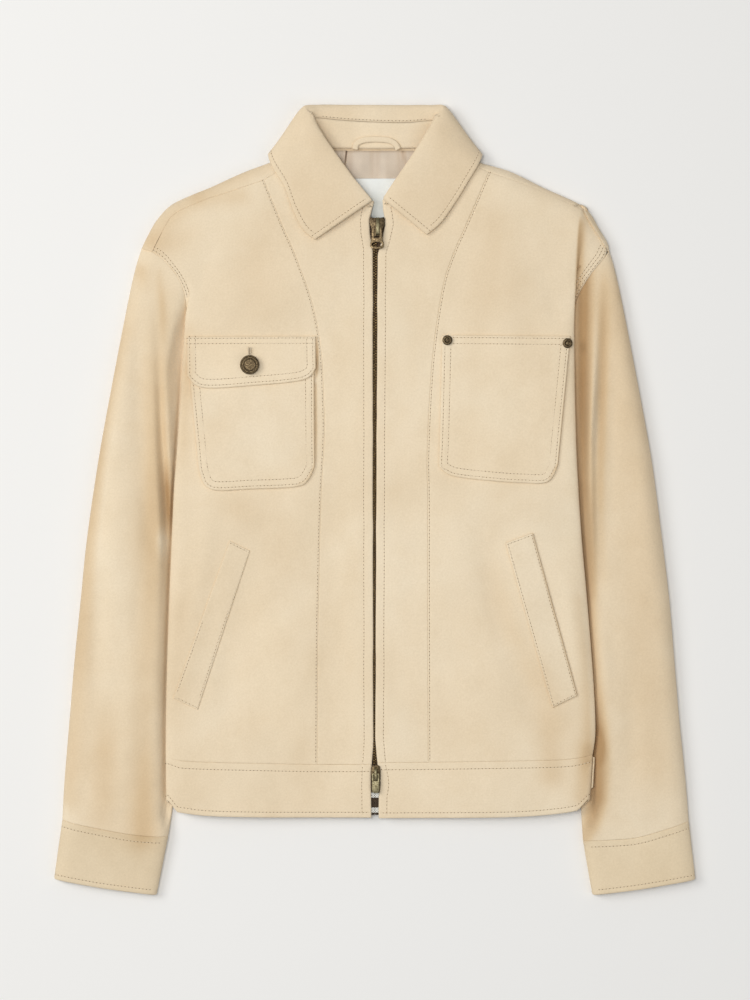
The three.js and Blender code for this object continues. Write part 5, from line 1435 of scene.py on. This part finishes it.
def stitch_line(name, border, distance, start, end):
    """Points and normals of a row that keeps its distance from a border of a piece."""
    points, normals = surfaces[name]
    if border in ("low", "high"):
        points, normals = points.transpose(1, 0, 2), normals.transpose(1, 0, 2)
    if border in ("high", "far"):
        points, normals = points[:, ::-1], normals[:, ::-1]
    run = lengths_along(points, 1)

    def read(values):
        return np.array([
            [np.interp(distance, at, row[:, c]) for c in range(3)] for at, row in zip(run, values)
        ])

    line, lean = read(points), read(normals)
    count = len(line) - 1
    first, last = int(round(start * count)), int(round(end * count))
    return line[first:last + 1], lean[first:last + 1]


def stitches_along(line, lean, pitch):
    """Middle, direction and normal of each stitch along a line."""
    run = lengths_along(line)
    count = int(run[-1] / pitch)
    at = (np.arange(count) + 0.5) * (run[-1] / max(count, 1))

    def read(values, where):
        return np.stack([np.interp(where, run, values[:, c]) for c in range(3)], 1)

    middle, ahead, behind = read(line, at), read(line, at + 0.4), read(line, at - 0.4)
    return middle, ahead - behind, read(lean, at)


# a stitch lies along x: three rings of four corners between two tips
STITCH_FORM = np.array([[-1, 0, 0]] + [
    [x, y * w, z * w] for x, w in ((-0.8, 0.75), (0, 1), (0.8, 0.75))
    for y, z in ((1, 0), (0, 1), (-1, 0), (0, -1))
] + [[1, 0, 0]])
STITCH_FACES = (
    [(0, 1 + (k + 1) % 4, 1 + k) for k in range(4)]
    + [(1 + 4 * r + k, 1 + 4 * r + (k + 1) % 4, 5 + 4 * r + (k + 1) % 4, 5 + 4 * r + k)
       for r in range(2) for k in range(4)]
    + [(13, 9 + k, 9 + (k + 1) % 4) for k in range(4)]
)


def sewing(name, stitches, size, lift, material):
    """All stitches of one kind as one mesh; size is half length, half width and half height."""
    points, faces = [], []
    for middle, direction, normal in zip(*stitches):
        along = unit(direction)
        across = unit(np.cross(normal, along))
        out = np.cross(along, across)
        base = len(points) * len(STITCH_FORM)
        points.append(middle + out * lift + (STITCH_FORM * size) @ np.stack([along, across, out]))
        faces += [[base + corner for corner in face] for face in STITCH_FACES]
    return make_object(name, np.concatenate(points), faces, material)


def laid_line(side, row, lift):
    """Points and normals of a row that was laid on the plan."""
    fine = spaced(row, max(int(np.linalg.norm(row[1:] - row[:-1], axis=1).sum() / 2), 4))
    line = on_front(side, fine[:, 0], fine[:, 1], lift(fine[:, 1]) - 0.2)
    return line, np.tile([0.0, 0, 1], (len(line), 1))


def joined_rows(rows, pitch, shift=0.0):
    lines = [laid_line(*row) if len(row) == 3 else stitch_line(*row) for row in rows]
    parts = [stitches_along(line, lean, pitch) for line, lean in lines]
    middle, direction, normal = (np.concatenate([part[k] for part in parts]) for k in range(3))
    return middle + unit(direction) * shift, direction, normal


PITCH = 3.2
# half length, half width and half height, then how far it stands off the cloth
STITCH, STITCH_LIFT = (1.05, 0.28, 0.2), 0.12
# dark marks between the stitches: painted shade of the needle holes
NEEDLE_HOLE, HOLE_LIFT = (0.5, 0.36, 0.12), 0.05
body_rows = [row for row in STITCHES if row[0].startswith(("front", "waistband", "cuff"))]
trim_rows = [row for row in STITCHES if row[0].startswith("collar")] + laid_rows
for name, rows in (("body", body_rows), ("trim", trim_rows)):
    threads, pricks = joined_rows(rows, PITCH), joined_rows(rows, PITCH, PITCH / 2)
    sewing(f"{name}_topstitching", threads, STITCH, STITCH_LIFT, THREAD)
    sewing(f"{name}_needle_holes", pricks, NEEDLE_HOLE, HOLE_LIFT, HOLE_SHADE)


# Zip tapes and teeth

def striped_ends(material):
    """White and dark bands woven into the ends of the tape, by their height above the hem."""
    tree = material.node_tree
    shader = next(node for node in tree.nodes if node.type == "BSDF_PRINCIPLED")
    weave = shader.inputs["Base Color"].links[0].from_socket
    coordinates = tree.nodes.new("ShaderNodeTexCoord")
    split = tree.nodes.new("ShaderNodeSeparateXYZ")
    tree.links.new(coordinates.outputs["Object"], split.inputs[0])
    height = tree.nodes.new("ShaderNodeMapRange")
    height.inputs["From Min"].default_value = -PLAN_MIDDLE * MM
    height.inputs["From Max"].default_value = (50 - PLAN_MIDDLE) * MM
    tree.links.new(split.outputs[1], height.inputs["Value"])
    # they multiply the dark weave, so white is far over 1
    dark, white = (0.6, 0.62, 0.66), (8, 13, 22)
    bands = ramp(tree, height.outputs[0], [
        (0.0, dark), (0.1, white), (0.19, dark), (0.37, white), (0.46, (1, 1, 1)),
    ])
    bands.node.color_ramp.interpolation = "CONSTANT"
    tree.links.new(multiplied(tree, weave, bands), shader.inputs["Base Color"])


striped_ends(TAPE)


def tape_rows(sign):
    """A tape from under the teeth to its edge beneath the front."""
    top, reach = 8.9, 13
    across = np.array([0.15, 0.8, 1.6, 2.1, 2.6, 4, 6.5, 9, 11.5, 12.4, reach])
    up = np.linspace(3, 549, 183)[:, None]
    height = top - 1.9 * (1 - smooth((across - 1.9) / 0.9))
    height = height + 0.12 * undulation(across[None], up, 9, 61) * smooth((up - 30) / 20)
    low_end = 1 - smooth((up - 20) / 12)
    height = mix(height, 8.7, low_end * (1 - smooth((across - 5) / 3)))
    edge = read_at(ZIP_EDGE["left" if sign > 0 else "right"], up)
    start = mix(across[0], edge + 0.8, smooth((up - 535) / 4))
    x = sign * (start + (across - across[0]) * (reach - start) / (reach - across[0]))
    return np.stack([x, up - PLAN_MIDDLE + 0 * across, np.minimum(height, top)], -1)


for name, sign in (("zip_tape_right", -1), ("zip_tape_left", 1)):
    cloth(name, tape_rows(sign), TAPE_WALL, TAPE, turned=sign < 0)


# one tooth from above: how far out from the zip line, and along it
TOOTH = [
    (-0.35, -0.34), (0.5, -0.62), (1.4, -0.66), (1.95, -0.5),
    (1.95, 0.5), (1.4, 0.66), (0.5, 0.62), (-0.35, 0.34),
]
TOOTH_PITCH = 2.3
TEETH_FROM, TEETH_TO = 49.6, 522.4


def tooth_row(name, sign, shift):
    """A row of moulded teeth, each a narrow block with a rounded nose, gripping the tape's edge."""
    top, thick = FRONT["zip"] - WALL - 0.15, 1.9
    points, faces = [], []
    for up in np.arange(TEETH_FROM + shift, TEETH_TO, TOOTH_PITCH):
        base = len(points)
        for z, grow in ((top - thick, 0.8), (top - thick + 0.5, 1), (top - 0.5, 1), (top, 0.66)):
            for out, rise in TOOTH:
                points.append((sign * (0.9 + (out - 0.9) * grow), up + rise * grow - PLAN_MIDDLE, z))
        count = len(TOOTH)
        loops = [[base + k for k in range(count)][::-1], [base + 3 * count + k for k in range(count)]]
        for ring in range(3):
            for k in range(count):
                a, b = base + ring * count + k, base + ring * count + (k + 1) % count
                loops.append([a, b, b + count, a + count])
        faces += loops if sign > 0 else [face[::-1] for face in loops]
    piece = make_object(name + "_elements", points, faces, TEETH)
    for polygon in piece.data.polygons:
        polygon.use_smooth = False
    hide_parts(name)


tooth_row("zip_teeth_right", -1, 0)
tooth_row("zip_teeth_left", 1, TOOTH_PITCH / 2)


# Slider, pulls, button and rivets

def pick(piece, chosen, kind="FACE"):
    """Selects faces or corners that pass the test, and leaves the piece in edit mode."""
    bpy.ops.object.mode_set(mode="OBJECT")
    for parts in (piece.data.vertices, piece.data.edges, piece.data.polygons):
        parts.foreach_set("select", [False] * len(parts))
    parts = piece.data.polygons if kind == "FACE" else piece.data.vertices
    for part in parts:
        part.select = chosen(part)
    bpy.ops.object.mode_set(mode="EDIT")
    bpy.ops.mesh.select_mode(type=kind)


def press(piece, kind, **settings):
    """Adds a modifier with its settings and applies it."""
    modifier = piece.modifiers.new("finish", kind)
    for key, value in settings.items():
        setattr(modifier, key, value)
    bpy.ops.object.modifier_apply(modifier=modifier.name)


def select_only(piece):
    bpy.ops.object.select_all(action="DESELECT")
    bpy.context.view_layer.objects.active = piece
    piece.select_set(True)


def cut_plate(name, outline, low, thick, holes=(), bevel=0.3, turned=None, middle=(0, 0)):
    """A plate with an outline, its corners pulled to their places one by one, then pierced and bevelled.

    A hole is its middle, its half width and half length, and how many sides it has.
    """
    bpy.ops.mesh.primitive_circle_add(vertices=len(outline), radius=4 * MM, fill_type="NGON",
                                      location=(0, 0, 0))
    piece = bpy.context.active_object
    piece.name = name
    for index, (x, y) in enumerate(outline):
        pick(piece, lambda corner: corner.index == index, "VERT")
        shift = Vector((x * MM, y * MM, 0)) - piece.data.vertices[index].co
        bpy.ops.transform.translate(value=shift)
    bpy.ops.mesh.select_all(action="SELECT")
    bpy.ops.mesh.extrude_region_move(TRANSFORM_OT_translate={"value": (0, 0, thick * MM)})
    bpy.ops.mesh.select_all(action="SELECT")
    bpy.ops.mesh.normals_make_consistent(inside=False)
    bpy.ops.object.mode_set(mode="OBJECT")
    for x, y, wide, long, sides in holes:
        bpy.ops.mesh.primitive_cylinder_add(vertices=sides, radius=MM, depth=6 * thick * MM,
                                            location=(x * MM, y * MM, 0))
        cutter = bpy.context.active_object
        if sides == 4:
            bpy.ops.object.mode_set(mode="EDIT")
            bpy.ops.transform.rotate(value=math.pi / 4, orient_axis="Z", center_override=(x * MM, y * MM, 0))
            bpy.ops.object.mode_set(mode="OBJECT")
        stretch = math.sqrt(2) if sides == 4 else 1
        cutter.scale = (wide * stretch, long * stretch, 1)
        bpy.ops.object.transform_apply(location=True, rotation=True, scale=True)
        select_only(piece)
        press(piece, "BOOLEAN", operation="DIFFERENCE", object=cutter, solver="EXACT")
        bpy.data.objects.remove(cutter)
    if bevel:
        press(piece, "BEVEL", width=bevel * MM, segments=3, limit_method="ANGLE", angle_limit=0.6)
    if turned:
        piece.rotation_euler = turned
        bpy.ops.object.transform_apply(rotation=True)
    piece.location = (middle[0] * MM, middle[1] * MM, low * MM)
    bpy.ops.object.transform_apply(location=True, rotation=True, scale=True)
    bpy.ops.object.shade_smooth_by_angle(angle=0.7)
    return piece


def joined(name, pieces, material, slot, body, node):
    """Joins finished plates in a node's place; the first of several, a slider's body, is darker."""
    bpy.ops.object.select_all(action="DESELECT")
    for piece in pieces:
        piece.data.materials.clear()
        piece.data.materials.append(material if len(pieces) == 1 or piece is not pieces[0] else DARK_BRASS)
        piece.select_set(True)
    bpy.context.view_layer.objects.active = pieces[0]
    if len(pieces) > 1:
        bpy.ops.object.join()
    pieces[0].name = name
    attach(pieces[0], body)
    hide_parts(node)
    return pieces[0]


def mirrored(half):
    return half + [(-x, y) for x, y in half[::-1]]


SIDEWAYS = (math.pi / 2, 0, math.pi / 2)


def slider(name, middle, start, end, shoulders, bar, bar_width, bar_shift=0.0):
    """Slider body, lower plate and post with the bridge bar over them; bar is its side view."""
    base = start - PLAN_MIDDLE
    shape = mirrored([(half, up - start) for half, up in shoulders])
    body = cut_plate("slider_body", shape, FRONT["zip"] + 0.35, 1.5, bevel=0.4, middle=(middle, base))
    under = cut_plate("slider_under", mirrored([(4, 1), (4, end - start - 2)]), 5.5, 1.1,
                      middle=(middle * 0.4, base))
    post = cut_plate("slider_post", mirrored([(0.7, 1.5), (0.7, end - start - 3)]), 5.9, 6, bevel=0,
                     middle=(0, base))
    # the bridge is drawn from the side and turned to stand along the zip
    bridge = cut_plate("slider_bridge", [(up - start, z) for up, z in bar], 0, bar_width, bevel=0.55,
                       turned=SIDEWAYS, middle=(middle + bar_shift - bar_width / 2, base))
    pieces = [body, under, post, bridge]
    return joined(name, pieces, BRASS, "antique_brass", "jacket", name.replace("_body", ""))


slider(
    "top_slider_body", 1.8, 524, 541.5,
    [(4.1, 524), (4.5, 528), (5.4, 531.5), (6.7, 535), (6.9, 539.5), (6.2, 541.4), (3.0, 540.6)],
    [(524.8, 12.7), (525, 15.2), (526.2, 16.5), (529, 17), (534, 17), (537.5, 16.4), (540.2, 14.8),
     (541, 12.7), (539.6, 12.7), (538.6, 14.4), (536.5, 15.2), (533.5, 15.7), (529, 15.7), (527, 15.3),
     (526.2, 12.7)],
    3.5, 0.7,
)
slider(
    "bottom_slider_body", 0.6, 33, 48,
    [(3.2, 33), (4.3, 35.5), (4.5, 43), (3.9, 46.5), (2.6, 48)],
    [(33.6, 12.7), (33.8, 15.2), (35, 16.5), (38, 17), (42.5, 17), (44.8, 16), (46.6, 12.7),
     (45.2, 12.7), (43.8, 15), (42, 15.7), (38, 15.7), (35.8, 15.3), (35, 12.7)],
    2.6,
)
PULL_LOW = 14.2 - 0.75
top_pull = cut_plate(
    "top_pull_plate",
    mirrored([(3.7, 1.2), (4.5, 0.2), (4.8, -4), (4.9, -8.5), (5.2, -11.2), (5.9, -12.9), (6.3, -14.8),
              (6.1, -16.4), (5.1, -17.7), (3.4, -18.35), (1.2, -18.5)]),
    PULL_LOW, 1.5, holes=[(0, -4.6, 2.3, 3.8, 4), (0, -14.4, 4.75, 2.1, 40)], bevel=0.4,
    middle=(1.8, 531 - PLAN_MIDDLE),
)
joined("top_pull_plate", [top_pull], PULL_BRASS, "antique_brass", "top_pull", "top_pull")
bottom_pull = cut_plate(
    "bottom_pull_plate",
    mirrored([(2.6, 1.2), (3.3, 0.4), (3.4, -6), (3.5, -13), (3.2, -15.6), (2.2, -16.8), (0.8, -17)]),
    PULL_LOW, 1.5, holes=[(0, -3.4, 1.85, 2.6, 4)], bevel=0.35, middle=(0.6, 40 - PLAN_MIDDLE),
)
joined("bottom_pull_plate", [bottom_pull], BRASS, "antique_brass", "bottom_pull", "bottom_pull")


def stud(name, node, rings, bevel):
    """A turned stud: from its rim inwards, each ring is how far in and how far up or down."""
    low, high = (Vector(corner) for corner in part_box(node))
    middle, size = (low + high) / 2, high - low
    bpy.ops.mesh.primitive_cylinder_add(vertices=64, radius=size.x / 2, depth=size.z, location=(0, 0, 0))
    piece = bpy.context.active_object
    pick(piece, lambda face: face.normal.z > 0.9)
    for inward, step in rings:
        bpy.ops.mesh.inset(thickness=inward * MM)
        bpy.ops.transform.translate(value=(0, 0, step * MM))
    bpy.ops.object.mode_set(mode="OBJECT")
    press(piece, "BEVEL", width=bevel * MM, segments=2, limit_method="ANGLE", angle_limit=0.5)
    piece.location = middle
    bpy.ops.object.transform_apply(location=True)
    bpy.ops.object.shade_smooth_by_angle(angle=0.6)
    return joined(name, [piece], DARK_BRASS, "dark_brass", "jacket", node)


BUTTON_RINGS = [
    (0.5, 0.0), (0.35, 0.25), (0.5, 0.05), (0.35, -0.5), (1.2, 0.12), (0.3, 0.3), (0.35, 0), (0.3, -0.3),
    (1.2, 0.1), (0.9, 0.1),
]
RIVET_RINGS = [(0.45, 0.1), (0.8, 0.2), (0.6, 0), (0.5, -0.4), (0.6, -0.35), (0.5, 0.1)]
stud("flap_button_turned", "flap_button", BUTTON_RINGS, 0.14)
for node in ("pocket_rivet_1", "pocket_rivet_2"):
    stud(node + "_turned", node, RIVET_RINGS, 0.12)


# a worked buttonhole above the button: two rows of close stitches, with a dark mark between them as painted
# shade of the slit
BUTTONHOLE = dict(out=112.8, low=417.5, high=424.4, middle=420.4, half_gap=0.9, pitch=0.8)
FLAP_FACE = 2 * (WALL + ON_TOP)
slit = []
for offset in (-BUTTONHOLE["half_gap"], BUTTONHOLE["half_gap"]):
    ups = np.arange(BUTTONHOLE["low"], BUTTONHOLE["high"], BUTTONHOLE["pitch"])
    outs = np.full(len(ups), BUTTONHOLE["out"] - offset)
    spots = on_front(RIGHT, outs, ups, FLAP_FACE - 0.25)
    slit.append((spots, np.tile([1.0, 0, 0], (len(ups), 1)), np.tile([0, 0, 1.0], (len(ups), 1))))
both = [np.concatenate(part) for part in zip(*slit)]
sewing("buttonhole_stitches", both, (0.75, 0.34, 0.2), 0.05, THREAD)
spots = on_front(RIGHT, np.array([BUTTONHOLE["out"]]), np.array([BUTTONHOLE["middle"]]), FLAP_FACE - 0.3)
one = (spots, np.array([[0, 1.0, 0]]), np.array([[0, 0, 1.0]]))
sewing("buttonhole_slit_shade", one, (3.4, 0.3, 0.12), 0.0, HOLE_SHADE)


# Floor, light and camera

FLOOR_SIZE, FLOOR_DROP = 60, 0.0004
bpy.ops.mesh.primitive_plane_add(size=FLOOR_SIZE, location=(0, 0, -FLOOR_DROP))
floor = bpy.context.active_object
floor.name = "stage_floor"
paper, _, shader = new_material("pale_floor")
shader.inputs["Base Color"].default_value = (0.9, 0.896, 0.882, 1)
shader.inputs["Roughness"].default_value = 0.95
shader.inputs["Specular IOR Level"].default_value = 0.1
floor.data.materials.append(paper)


def soft_light(name, location, target, size, power, color):
    data = bpy.data.lights.new(name, "AREA")
    data.shape = "RECTANGLE"
    data.size, data.size_y = size
    data.energy = power
    data.color = color
    lamp = bpy.data.objects.new(name, data)
    bpy.context.scene.collection.objects.link(lamp)
    lamp.location = location
    lamp.rotation_euler = (Vector(target) - Vector(location)).to_track_quat("-Z", "Y").to_euler()


soft_light("window_side", (-2.3, 0.8, 2.4), (0, 0, 0), (1.6, 1.6), 41, (1, 0.985, 0.96))
soft_light("fill_side", (2.2, -1.4, 2.8), (0, 0, 0), (2.6, 2.6), 16, (0.97, 0.985, 1))
soft_light("overhead", (-0.55, 0.2, 3.5), (0, 0, 0), (1.2, 1.2), 51.5, (1, 0.995, 0.985))

world = bpy.data.worlds.new("studio")
bpy.context.scene.world = world
world.use_nodes = True
world.node_tree.nodes["Background"].inputs[0].default_value = (1, 0.995, 0.985, 1)
world.node_tree.nodes["Background"].inputs[1].default_value = 0.25
bpy.context.scene.view_settings.view_transform = "Standard"

# straight down: the picture's height covers FRAME_HEIGHT metres at the cloth's level
CAMERA_HEIGHT, CLOTH_LEVEL, FRAME_HEIGHT, SENSOR = 3.2, 0.012, 0.9, 36
camera_data = bpy.data.cameras.new("camera")
camera = bpy.data.objects.new("camera", camera_data)
bpy.context.scene.collection.objects.link(camera)
camera.location = (0, 0, CAMERA_HEIGHT)
camera.rotation_euler = (0, 0, 0)
camera_data.sensor_width = SENSOR
camera_data.lens = SENSOR * (CAMERA_HEIGHT - CLOTH_LEVEL) / FRAME_HEIGHT
camera_data.clip_end = 100
bpy.context.scene.camera = camera
